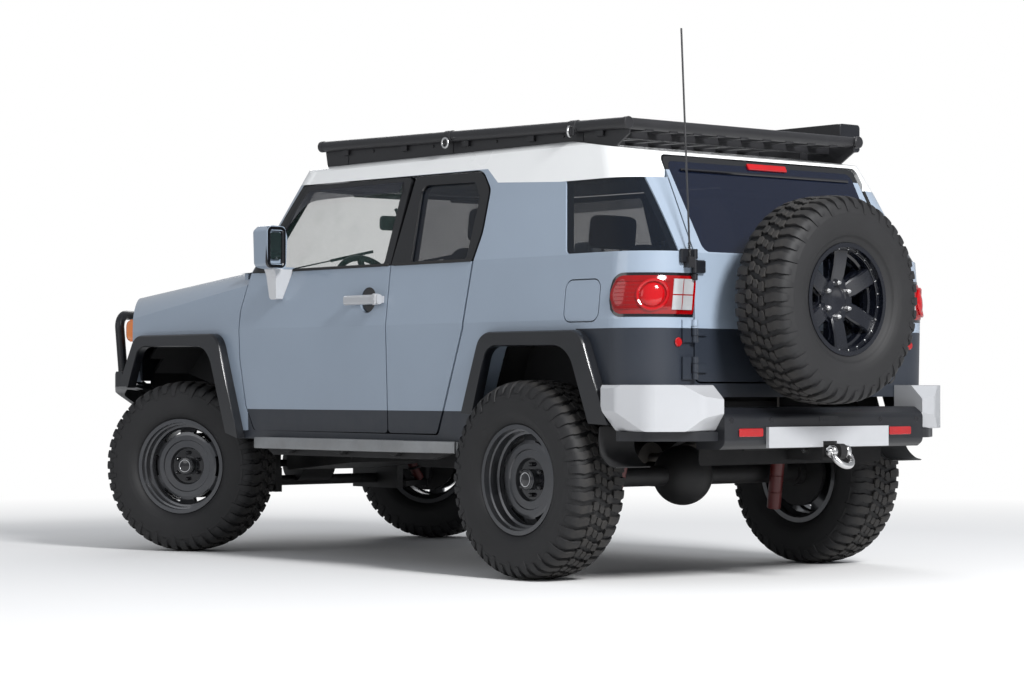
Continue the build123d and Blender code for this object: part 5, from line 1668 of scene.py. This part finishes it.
@dataclass
class Roof:
    """Rack eyes and caps, awning ends and grooves, and the aerial's spring."""

    palette: Palette
    rail_half: float = 0.700
    front: float = -0.467
    rear: float = 1.650
    rail_z: float = 1.936
    slat_z: float = 1.900
    drop: float = 0.042
    foot_ys: tuple[float, float] = (0.488, 1.321)
    awning_x: float = -0.7925
    spring_low: Point = (0.6517, 1.9605, 1.330)
    spring_high: Point = (0.6505, 1.9560, 1.385)

    def slope(self, y: float, front_z: float) -> float:
        """Height at a place along the rack of a line that drops evenly from its front to its rear."""
        return front_z - self.drop * (y - self.front) / (self.rear - self.front)

    def eyes(self) -> None:
        """Ring (r cos a sin t, r cos a cos t, r sin a) at each of the rack's feet, turned by t about Z."""
        shape = Shape()
        a = full_turn(24)
        for y, z, degrees in zip(self.foot_ys, (1.888, 1.878), (0.0, 70.0)):
            s, c = math.sin(math.radians(degrees)), math.cos(math.radians(degrees))
            ring = 0.021 * np.stack([s * np.cos(a), c * np.cos(a), np.sin(a)], axis=1) + (0.730, y, z)
            shape.tube(np.vstack([ring, ring[:1]]), circle(0.005, 8), (c, -s, 0.001))
        shape.both_sides().make("rack_eyes", VEHICLE, "bright_steel", [self.palette["zinc"]], 50)

    def caps(self) -> None:
        """End caps and foot clamps of the rack's side rails, and a bolt at each slat's end."""
        shape = Shape()
        for y, way in ((self.front, -1), (self.rear, 1)):
            place = facing((self.rail_half, y, self.slope(y, self.rail_z)), (0, way, -0.02 * way))
            shape.plate(circle(0.0262, 28), place, -0.022, 0.006, 0.004)
        for y in self.foot_ys:
            z = self.slope(y, self.rail_z)
            shape.plate(circle(0.0275, 28), facing((self.rail_half, y, z), (0, 1, -0.02)), -0.024, 0.024, 0.003)
            shape.box((0.716, y - 0.018, z - 0.040), (0.728, y + 0.018, z + 0.004), 0.003)
        for step in range(9):
            y = self.front + 0.16 + step * 0.22
            place = facing((0.688, y, self.slope(y, self.slat_z)), LEFTWARD)
            shape.plate(circle(0.007, 6), place, -0.001, 0.005, 0.001)
        shape.both_sides().make("rack_caps", VEHICLE, "black_paint", [self.palette["rack_black"]])

    def awning(self) -> None:
        """Ends of the awning's case and two grooves along its outer face."""
        ends, grooves = Shape(), Shape()
        for y, way in ((-0.407, -1), (1.511, 1)):
            place = facing((self.awning_x, y, 1.9285), (0, way, 0))
            ends.plate(round_rect(0.131, 0.124, 0.014), place, -0.03, 0.004, 0.003)
        ends.make("awning_ends", VEHICLE, "black_plastic", [self.palette["bumper_black"]])
        for z in (1.900, 1.952):
            grooves.box((-0.8608, -0.37, z - 0.003), (-0.8592, 1.47, z + 0.003), 0.0005)
        grooves.make("awning_grooves", VEHICLE, "black_plastic", [self.palette["gloss_black"]])

    def spring(self) -> None:
        """Seven turns of wire at the aerial's foot: point on the axis + r (cos t, sin t)."""
        t = np.linspace(0, 7 * 2 * math.pi, 150)
        low, high = np.array(self.spring_low), np.array(self.spring_high)
        axis = low + (high - low) * (t / t[-1])[:, None]
        turns = 0.0065 * np.stack([np.cos(t), np.sin(t), 0 * t], axis=1)
        shape = Shape().tube(axis + turns, circle(0.0016, 6))
        shape.make("aerial_spring", VEHICLE, "black_plastic", [self.palette["gloss_black"]], 60)

    def build(self) -> None:
        """Makes the roof's small parts."""
        self.eyes()
        self.caps()
        self.awning()
        self.spring()


@dataclass
class Underbody:
    """Springs, dampers, step trim, tow shackle, mud flaps, bumper sensors, and dark plates that paint shade under
    the body.
    """

    palette: Palette
    rear_coil_x: float = 0.57
    step_z: float = 0.5175
    step_edge_z: float = 0.543
    eye: tuple[float, float] = (2.172, 0.538)
    pin: tuple[float, float] = (2.02, 0.538)
    bumper_face_y: float = 2.1046

    def coil(self, shape: Shape, low: Point, high: Point, radius: float, wire: float, turns: float) -> None:
        """Helix round the line between two points: axis point + radius (cos t, sin t) across it.

        Args:
            shape: Shape to add it to.
            low: Where its axis starts.
            high: Where its axis ends.
            radius: Radius of the coil.
            wire: Radius of the wire.
            turns: Number of turns.
        """
        start, run = np.array(low), np.subtract(high, low)
        axis = run / np.linalg.norm(run)
        side = np.cross(axis, REARWARD)
        side /= np.linalg.norm(side)
        other = np.cross(axis, side)
        t = np.linspace(0, turns * 2 * math.pi, int(turns * 22))[:, None]
        path = start + run * (t / t[-1]) + radius * (np.cos(t) * side + np.sin(t) * other)
        shape.tube(path, circle(wire, 8), tuple(axis))

    def rod(self, shape: Shape, low: Point, high: Point, radii: tuple[float, ...]) -> None:
        """Round rod whose radius changes in equal steps.

        Args:
            shape: Shape to add it to.
            low: Where its axis starts.
            high: Where its axis ends.
            radii: Radius of each step.
        """
        run = np.subtract(high, low)
        place = facing(low, tuple(run), (0, 1, 0.01))
        length = float(np.linalg.norm(run)) / len(radii)
        for number, radius in enumerate(radii):
            shape.plate(circle(radius, 24), place, number * length, (number + 1) * length, 0.002)

    def suspension(self) -> None:
        """Rear coils, front coil-overs and red dampers."""
        x, rear, front = self.rear_coil_x, REAR_AXLE_Y, FRONT_AXLE_Y
        coils, dampers = Shape(), Shape()
        self.coil(coils, (x, rear, 0.490), (x, rear, 0.634), 0.058, 0.0075, 4.5)
        self.coil(coils, (0.590, front + 0.079, 0.345), (0.462, front + 0.006, 0.632), 0.032, 0.0055, 7)
        coils.both_sides().make("coil_springs", VEHICLE, "black_paint", [self.palette["frame_black"]], 60)
        self.rod(dampers, (0.500, 1.315, 0.262), (0.462, 1.400, 0.638), (0.031, 0.031, 0.031, 0.022, 0.016))
        self.rod(dampers, (0.600, front + 0.085, 0.318), (0.450, front, 0.655), (0.024, 0.022, 0.014))
        dampers.both_sides().make("dampers", VEHICLE, "red_lens", [self.palette["red_paint"]])

    def steps(self) -> None:
        """Rounded silver edge, ribbed tread and dark lower rail of both side steps."""
        rail, ribs, edge = Shape(), Shape(), Shape()
        along_y = Matrix(((0, 0, 1, 0), (1, 0, 0, 0), (0, 1, 0, 0), (0, 0, 0, 1)))
        top = self.step_z
        outline = np.array([(-0.640, top), (-0.590, 0.487), (0.600, 0.487), (0.735, top)])
        rail.plate(outline, along_y, 0.862, 0.896, 0.003)
        for y in (-0.42, -0.02, 0.38):
            gusset = np.array([(y - 0.10, top), (y, 0.4975), (y + 0.03, top)])
            rail.plate(gusset, along_y, 0.896, 0.930, 0.002)
        rail.both_sides().make("step_lower_rails", VEHICLE, "black_paint", [self.palette["frame_black"]])
        for y in np.arange(-0.63, 0.42, 0.021):
            ribs.box((0.900, y, 0.5655), (0.950, y + 0.011, 0.5690), 0.002)
        ribs.both_sides().make("step_ribs", VEHICLE, "silver_paint", [self.palette["step_silver"]])
        bends = ((0.958, -0.640), (0.9605, -0.55), (0.9605, 0.30), (0.953, 0.48), (0.934, 0.62), (0.905, 0.775))
        path = smooth_line([(x, y, self.step_edge_z) for x, y in bends], 8)
        edge.tube(path, round_rect(0.014, 0.052, 0.0069, 6))
        edge.both_sides().make("step_edges", VEHICLE, "silver_paint", [self.palette["step_silver"]], 60)

    def shackle(self) -> None:
        """Zinc bow shackle through the hitch's eye, hanging back and down, with its ears, pin and nut."""
        y, z = self.eye
        back, down = 0.62, 0.78
        a = np.radians(np.linspace(-35, 215, 28))
        reach = 0.030 + 0.046 * np.sin(a)
        path = np.stack([0.047 * np.cos(a), y + back * reach, z - down * reach], axis=1)
        shape = Shape().tube(path, circle(0.0130, 14), (0, down, back))
        for x in (0.040, -0.040):
            shape.plate(circle(0.0255, 28), facing((x, y, z), LEFTWARD), -0.013, 0.013, 0.004)
        shape.plate(circle(0.0115, 20), facing((0, y, z), LEFTWARD), -0.056, 0.056, 0.002)
        shape.plate(circle(0.0175, 6), facing((0.062, y, z), LEFTWARD), -0.008, 0.006, 0.002)
        shape.make("bow_shackle", VEHICLE, "bright_steel", [self.palette["zinc"]], 50)

    def hitch_pin(self) -> None:
        """Bent pin across the hitch's tube."""
        y, z = self.pin
        path = round_path([(0.055, y, z), (-0.055, y, z), (-0.055, y, z - 0.038)], 0.02)
        shape = Shape().tube(path, circle(0.008, 12), REARWARD)
        shape.make("hitch_pin", VEHICLE, "bright_steel", [self.palette["zinc"]], 50)

    def flaps(self) -> None:
        """Rubber flaps behind the rear wheels: a sheet that hangs and is swept back at its foot."""
        line = smooth_line([(1.716, 0.640), (1.712, 0.585), (1.725, 0.530), (1.770, 0.490), (1.812, 0.478)], 5)
        rings = []
        for x in (0.735, 0.925):
            front = np.column_stack([np.full(len(line), x), line])
            rings.append(np.vstack([front, (front + (0, 0.006, 0.004))[::-1]]))
        shape = Shape().loft(np.stack(rings))
        shape.both_sides().make("mud_flaps", VEHICLE, "black_plastic", [self.palette["seal_rubber"]])

    def bumper(self) -> None:
        """Slot and four sensors of the rear bumper."""
        y = self.bumper_face_y
        shape = Shape().plate(round_rect(0.115, 0.022, 0.004), facing((-0.01, y, 0.672), REARWARD), 0, 0.0015)
        for x in (0.33, -0.33, 0.56, -0.56):
            shape.plate(circle(0.012, 24), facing((x, y, 0.668), REARWARD), 0, 0.002, 0.001)
        shape.make("bumper_sensors", VEHICLE, "black_plastic", [self.palette["gloss_black"]])

    def valances(self) -> None:
        """Dark plates behind the front guard and over the rear axle: painted shade that fills gaps where the
        underbody lies in shadow.
        """
        shape = Shape()
        # Near-black sheets that paint the shade under the body into its gaps
        for width, height, y, z in ((1.36, 0.10, -1.974, 0.850), (1.10, 0.16, 1.905, 0.562)):
            shape.plate(round_rect(width, height, 0.02), facing((0.0, y, z), REARWARD), 0, 0.004)
        shape.make("valances", VEHICLE, "black_plastic", [self.palette["liner"]])

    def build(self) -> None:
        """Makes every piece under the body."""
        self.suspension()
        self.valances()
        self.steps()
        self.shackle()
        self.hitch_pin()
        self.flaps()
        self.bumper()


@dataclass
class Cabin:
    """Padded chairs and bench, dashboard trim, lever and inner mirror."""

    palette: Palette
    chair_x: float = 0.37
    chair_width: float = 0.50
    bench_x: float = 0.31
    bench_width: float = 0.61

    def lay(self, shape: Shape, form: tuple[Array, Array], place: Matrix, finish: int = 0) -> None:
        """Adds a pad at a place.

        Args:
            shape: Shape to add it to.
            form: The pad's points and faces.
            place: Where its middle goes.
            finish: 0 for the panel cloth, 1 for the plain cloth.
        """
        shape.add(placed(form[0], place), form[1], finish)

    def piece(self, shape: Shape, name: str, fill: float = 0.6) -> None:
        """Makes a padded piece on the vehicle.

        Args:
            shape: Its pads.
            name: The piece's name.
            fill: Share of it that is filled; not used.
        """
        made = shape.make(name, VEHICLE, "cloth", [self.palette["seat_panel"], self.palette["seat_cloth"]], 180)

    def cushion(self, name: str, x: float, width: float, y: float, z: float, depth: float) -> None:
        """Bottom cushion: a channelled middle between two rolled side pads.

        Args:
            name: The piece's name.
            x: Its middle along X.
            width: Its whole width.
            y: Its front edge.
            z: Height of its underside.
            depth: Its length from front to back.
        """
        tilt = Matrix.Translation((x, y + depth / 2, z + 0.072)) @ Matrix.Rotation(math.radians(-3), 4, "X")
        shape = Shape()
        self.lay(shape, pad((width * 0.36, depth / 2, 0.062), 0.010, 0.015, 0.30, (-0.45, 0.0, 0.45)), tilt)
        for way in (1, -1):
            side = tilt @ Matrix.Translation((way * width * 0.40, 0.0, 0.006))
            self.lay(shape, pad((width * 0.098, depth / 2 - 0.004, 0.070), 0.012, 0.01, 0.5), side, 1)
        self.piece(shape, name)

    def back(self, name: str, x: float, width: float, foot: tuple[float, float], top: tuple[float, float],
             depth: float) -> None:
        """Back rest between two points in (y, z): a channelled middle and two side pads that stand proud.

        Args:
            name: The piece's name.
            x: Its middle along X.
            width: Its whole width.
            foot: Middle of its lower end.
            top: Middle of its upper end.
            depth: Its thickness.
        """
        up = Vector((0, top[0] - foot[0], top[1] - foot[1]))
        half = up.length / 2
        middle = (x, (foot[0] + top[0]) / 2, (foot[1] + top[1]) / 2)
        place = facing(middle, tuple(Vector((-1, 0, 0)).cross(up)), tuple(up))
        shape = Shape()
        self.lay(shape, pad((width * 0.37, half, depth / 2), 0.014, 0.02, 0.30, (-0.4, 0.0, 0.4)), place)
        for way in (1, -1):
            side = place @ Matrix.Translation((way * width * 0.405, -0.01, 0.014))
            self.lay(shape, pad((width * 0.092, half - 0.03, depth / 2 + 0.004), 0.012, 0.02, 0.5), side, 1)
        self.piece(shape, name)

    def head_rest(self, name: str, x: float, y: float, z: float) -> None:
        """Head rest on two posts.

        Args:
            name: The piece's name.
            x: Its middle along X.
            y: Its middle along Y.
            z: Height of its middle.
        """
        shape, posts = Shape(), Shape()
        self.lay(shape, pad((0.130, 0.082, 0.045), 0.012, 0.03, 0.42), facing((x, y, z), (0, -1, 0.12)), 1)
        self.piece(shape, name)
        for way in (0.06, -0.06):
            path = np.array([(x + way, y - 0.030, z - 0.22), (x + way, y - 0.005, z - 0.04)])
            posts.tube(path, circle(0.007, 12), LEFTWARD)
        posts.make(f"{name}_posts", VEHICLE, "bright_steel", [self.palette["chrome"]])

    def chairs(self) -> None:
        """Two front chairs and the rear bench, in place of the plain CAD forms."""
        base = Shape()
        for side in Side:
            x, word = side.value * self.chair_x, side.word
            self.cushion(f"front_cushion_{word}", x, self.chair_width, -0.295, 0.862, 0.50)
            self.back(f"front_back_rest_{word}", x, self.chair_width, (0.205, 0.905), (0.362, 1.430), 0.135)
            self.head_rest(f"front_head_rest_{word}", x, 0.392, 1.535)
            base.box((x - 0.19, -0.265, 0.668), (x + 0.19, 0.175, 0.868), 0.02)
            base.box((x - 0.235, -0.20, 0.80), (x + 0.235, 0.16, 0.872), 0.02)
        for side in Side:
            x, word = side.value * self.bench_x, side.word
            self.cushion(f"bench_cushion_{word}", x, self.bench_width, 0.855, 0.876, 0.50)
            self.back(f"bench_back_rest_{word}", x, self.bench_width, (1.350, 0.930), (1.500, 1.400), 0.130)
            self.head_rest(f"bench_head_rest_{word}", x, 1.525, 1.500)
        base.box((-0.56, 0.915, 0.798), (0.56, 1.315, 0.884), 0.02)
        made = base.make("chair_bases", VEHICLE, "cabin_plastic", [self.palette["cabin_dark"]])
        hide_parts("cabin_chairs")

    def dash(self) -> None:
        """Screen, round vents, binnacle and middle console."""
        screen = Shape().box((-0.105, -0.645, 1.175), (0.105, -0.616, 1.300), 0.006)
        screen.make("dash_screen", VEHICLE, "cabin_plastic", [self.palette["gloss_black"]])
        parts = Shape()
        for x in (0.170, -0.170, 0.660, -0.660):
            parts.plate(circle(0.043, 28), facing((x, -0.630, 1.245), (0, 1, 0.2)), -0.010, 0.014, 0.004)
        parts.box((0.27, -0.665, 1.300), (0.47, -0.60, 1.350), 0.02)
        parts.box((-0.100, -0.62, 0.784), (0.100, 0.10, 0.835), 0.02)
        parts.make("dash_parts", VEHICLE, "cabin_plastic", [self.palette["cabin_mid"]])

    def lever(self) -> None:
        """Gear lever with a round knob."""
        path = round_path([(0.0, -0.42, 0.83), (0.0, -0.44, 0.94), (0.0, -0.41, 1.02)], 0.04)
        shape = Shape().tube(path, circle(0.008, 12), LEFTWARD)
        points, faces = pad((0.024, 0.024, 0.030), 0, 0, 0.9, steps=(16, 24))
        shape.add(points + (0.0, -0.408, 1.040), faces)
        shape.make("gear_lever", VEHICLE, "cabin_plastic", [self.palette["cabin_dark"]], 60)

    def overhead(self) -> None:
        """Inner mirror on its stalk, and two sun visors."""
        mirror, visors = Shape(), Shape()
        place = facing((0.0, -0.760, 1.615), (0.05, 1, -0.05))
        mirror.plate(round_rect(0.245, 0.072, 0.02), place, -0.012, 0.012, 0.004)
        mirror.tube(np.array([(0.0, -0.770, 1.640), (0.0, -0.800, 1.690)]), circle(0.008, 10), LEFTWARD)
        mirror.make("inner_mirror", VEHICLE, "cabin_plastic", [self.palette["cabin_dark"]])
        for x in (0.30, -0.30):
            visors.box((x - 0.16, -0.55, 1.715), (x + 0.16, -0.40, 1.728), 0.006)
        visors.make("sun_visors", VEHICLE, "cabin_plastic", [self.palette["cabin_light"]])

    def build(self) -> None:
        """Makes the cabin's pieces."""
        self.chairs()
        self.dash()
        self.lever()
        self.overhead()


@dataclass
class Nose:
    """Front wipers and the grille's frame."""

    palette: Palette
    # Half width, middle's Y and edge's Y of the windscreen at its foot and head
    screen_low: Point = (0.80, -1.000, -0.873)
    screen_high: Point = (0.69, -0.740, -0.637)
    wiper_z: tuple[float, float] = (1.375, 1.47)
    grille: Point = (0, -2.055, 1.040)
    grille_bow: float = 0.0887

    def glass_y(self, x: float, z: float) -> float:
        """Y just outside the windscreen: middle + (edge - middle) (x / half)^2, each read between foot and head.

        Args:
            x: Place across the screen.
            z: Height.

        Returns:
            The Y there.
        """
        share = (z - BELT_Z) / (EAVE_Z - BELT_Z)
        ends = zip(self.screen_low, self.screen_high)
        half, middle, edge = ((1 - share) * low + share * high for low, high in ends)
        return middle + (edge - middle) * (x / half) ** 2 - 0.012

    def wipers(self) -> None:
        """Three wipers: a flat arm from the screen's foot and a thin blade across its end."""
        shape = Shape()
        low, high = self.wiper_z
        for foot, tip in ((0.56, 0.10), (0.02, -0.42), (-0.46, -0.70)):
            start = (foot, self.glass_y(foot, low) - 0.004, low)
            end = (tip, self.glass_y(tip, high) + 0.004, high)
            shape.tube(np.array([start, end]), round_rect(0.012, 0.006, 0.002, 3))
            spots = ((tip + 0.20, 1.428), (tip + 0.06, 1.458), (tip - 0.05, 1.481))
            blade = [(x, self.glass_y(x, z) + 0.006, z) for x, z in spots]
            shape.tube(smooth_line(blade, 4), round_rect(0.008, 0.014, 0.002, 3))
        shape.make("wipers", VEHICLE, "black_plastic", [self.palette["seal_rubber"]], 50)

    def frame(self) -> None:
        """Silver frame round the grille: even points on a rounded rectangle, bent back by bow x^2."""
        corner_points = round_rect(0.90, 0.196, 0.050, 8)
        loop = np.vstack([corner_points, corner_points[:1]])
        along = np.concatenate([[0.0], np.cumsum(np.linalg.norm(np.diff(loop, axis=0), axis=1))])
        spots = np.linspace(0.0, along[-1], 140, endpoint=False)
        outline = np.column_stack([np.interp(spots, along, loop[:, axis]) for axis in (0, 1)])
        rings = stacked([(inset(outline, amount), height) for amount, height in (
            (0.0, -0.030), (0.0, 0.010), (0.006, 0.013), (0.016, 0.010), (0.018, -0.030))])
        rings[..., 2] -= self.grille_bow * rings[..., 0] ** 2
        shape = Shape().hoop(placed(rings, facing(self.grille, FORWARD)))
        shape.make("grille_frame", VEHICLE, "bright_steel", [self.palette["silver"]], 50)

    def build(self) -> None:
        """Makes the wipers and the grille's frame."""
        self.wipers()
        self.frame()


@dataclass
class Studio:
    """Camera, soft lamps, pale floor and backdrop."""

    eye: tuple[float, float, float] = (8.259, 9.762, 0.801)
    yaw: float = 0.7068
    pitch: float = 0.01714
    lens: float = 94.69
    floor_tone: float = 0.80
    fade_near: float = 3.4
    fade_far: float = 7.5

    def camera(self) -> None:
        """Camera at the photograph's place and viewing angle."""
        data = bpy.data.cameras.new("camera")
        data.lens = self.lens
        data.sensor_width = 36.0
        data.clip_end = 200.0
        eye = bpy.data.objects.new("camera", data)
        bpy.context.scene.collection.objects.link(eye)
        ahead = Vector((-math.sin(self.yaw) * math.cos(self.pitch), -math.cos(self.yaw) * math.cos(self.pitch),
                        math.sin(self.pitch)))
        eye.location = self.eye
        eye.rotation_euler = ahead.to_track_quat("-Z", "Y").to_euler()
        bpy.context.scene.camera = eye

    def floor(self) -> None:
        """Large pale floor that shows as white to the camera where no shadow lies."""
        shape = Shape().plate(circle(60.0, 64), Matrix.Identity(4), -0.02, 0.0)
        mesh = bpy.data.meshes.new("floor")
        faces = [face.tolist() for block in shape.faces for face in block]
        mesh.from_pydata(np.vstack(shape.points).tolist(), [], faces)
        floor = bpy.data.objects.new("floor", mesh)
        bpy.context.scene.collection.objects.link(floor)
        material = bpy.data.materials.new("floor")
        material.use_nodes = True
        shader = material.node_tree.nodes["Principled BSDF"]
        tone = (*(self.floor_tone,) * 3, 1.0)
        n = Nodes(material.node_tree)
        n.fill(shader, {"Base Color": tone, "Roughness": 0.9, "Specular IOR Level": 0.1})
        self.fade(n, shader)
        mesh.materials.append(material)
        floor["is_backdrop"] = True

    def fade(self, n: Nodes, shader: bpy.types.Node) -> None:
        """Turns the floor to plain white for the camera: share = (distance - near) / (far - near).

        Args:
            n: The floor's node maker.
            shader: Its plain shader.
        """
        distance = n.add("ShaderNodeVectorMath", {0: n.place()}, operation="LENGTH").outputs["Value"]
        seen = n.add("ShaderNodeLightPath").outputs["Is Camera Ray"]
        share = n.math("MULTIPLY", n.ramp(distance, self.fade_near, self.fade_far), seen)
        white = n.add("ShaderNodeEmission", {"Color": (1.0, 1.0, 1.0, 1.0), "Strength": 1.0})
        mix = n.add("ShaderNodeMixShader", {0: share, 1: shader.outputs[0], 2: white.outputs[0]})
        n.fill(n.tree.nodes["Material Output"], {"Surface": mix.outputs[0]})

    def world(self) -> None:
        """Soft light all round; the camera and glass see a brighter pale ground."""
        world = bpy.data.worlds.new("studio")
        bpy.context.scene.world = world
        world.use_nodes = True
        n = Nodes(world.node_tree)
        ground = n.fill(n.tree.nodes["Background"], {"Color": (0.92, 0.95, 1.0, 1.0), "Strength": 0.46})
        seen = n.add("ShaderNodeBackground", {"Color": (1.0, 1.0, 1.0, 1.0), "Strength": 1.0})
        path = n.add("ShaderNodeLightPath")
        share = n.math("MAXIMUM", path.outputs["Is Camera Ray"], path.outputs["Is Transmission Ray"])
        mix = n.add("ShaderNodeMixShader", {0: share, 1: ground.outputs[0], 2: seen.outputs[0]})
        n.fill(n.tree.nodes["World Output"], {"Surface": mix.outputs[0]})

    def lamps(self) -> None:
        """A broad key from high behind the camera's right, and two weaker fills."""
        for name, place, size, power in (
            ("key", (1.5, 10.0, 7.0), 3.0, 1500.0),
            ("side_fill", (9.0, -1.0, 4.0), 5.0, 90.0),
            ("front_fill", (-6.0, -8.0, 6.0), 6.0, 300.0),
        ):
            data = bpy.data.lights.new(name, "AREA")
            data.shape = "DISK"
            data.size = size
            data.energy = power
            lamp = bpy.data.objects.new(name, data)
            lamp.location = place
            aim = Vector((0, 0, 0.9)) - Vector(place)
            lamp.rotation_euler = aim.to_track_quat("-Z", "Y").to_euler()
            bpy.context.scene.collection.objects.link(lamp)

    def build(self) -> None:
        """Sets the whole studio."""
        self.camera()
        self.floor()
        self.world()
        self.lamps()
        bpy.context.scene.view_settings.view_transform = "Standard"


def corners() -> list[list[float]]:
    """The shown object's lowest and highest corner as plain numbers."""
    return [list(corner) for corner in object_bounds()]


def main() -> None:
    """Builds every sub-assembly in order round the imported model."""
    logging.basicConfig(level=logging.INFO, format="%(message)s")
    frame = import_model()
    palette = Palette()
    Dresser(palette, frame["nodes"]).dress()
    for assembly in (Wheels, Lamps, DoorTrim, Roof, Underbody, Cabin, Nose):
        assembly(palette).build()
    Studio().build()


if __name__ == "__main__":
    main()
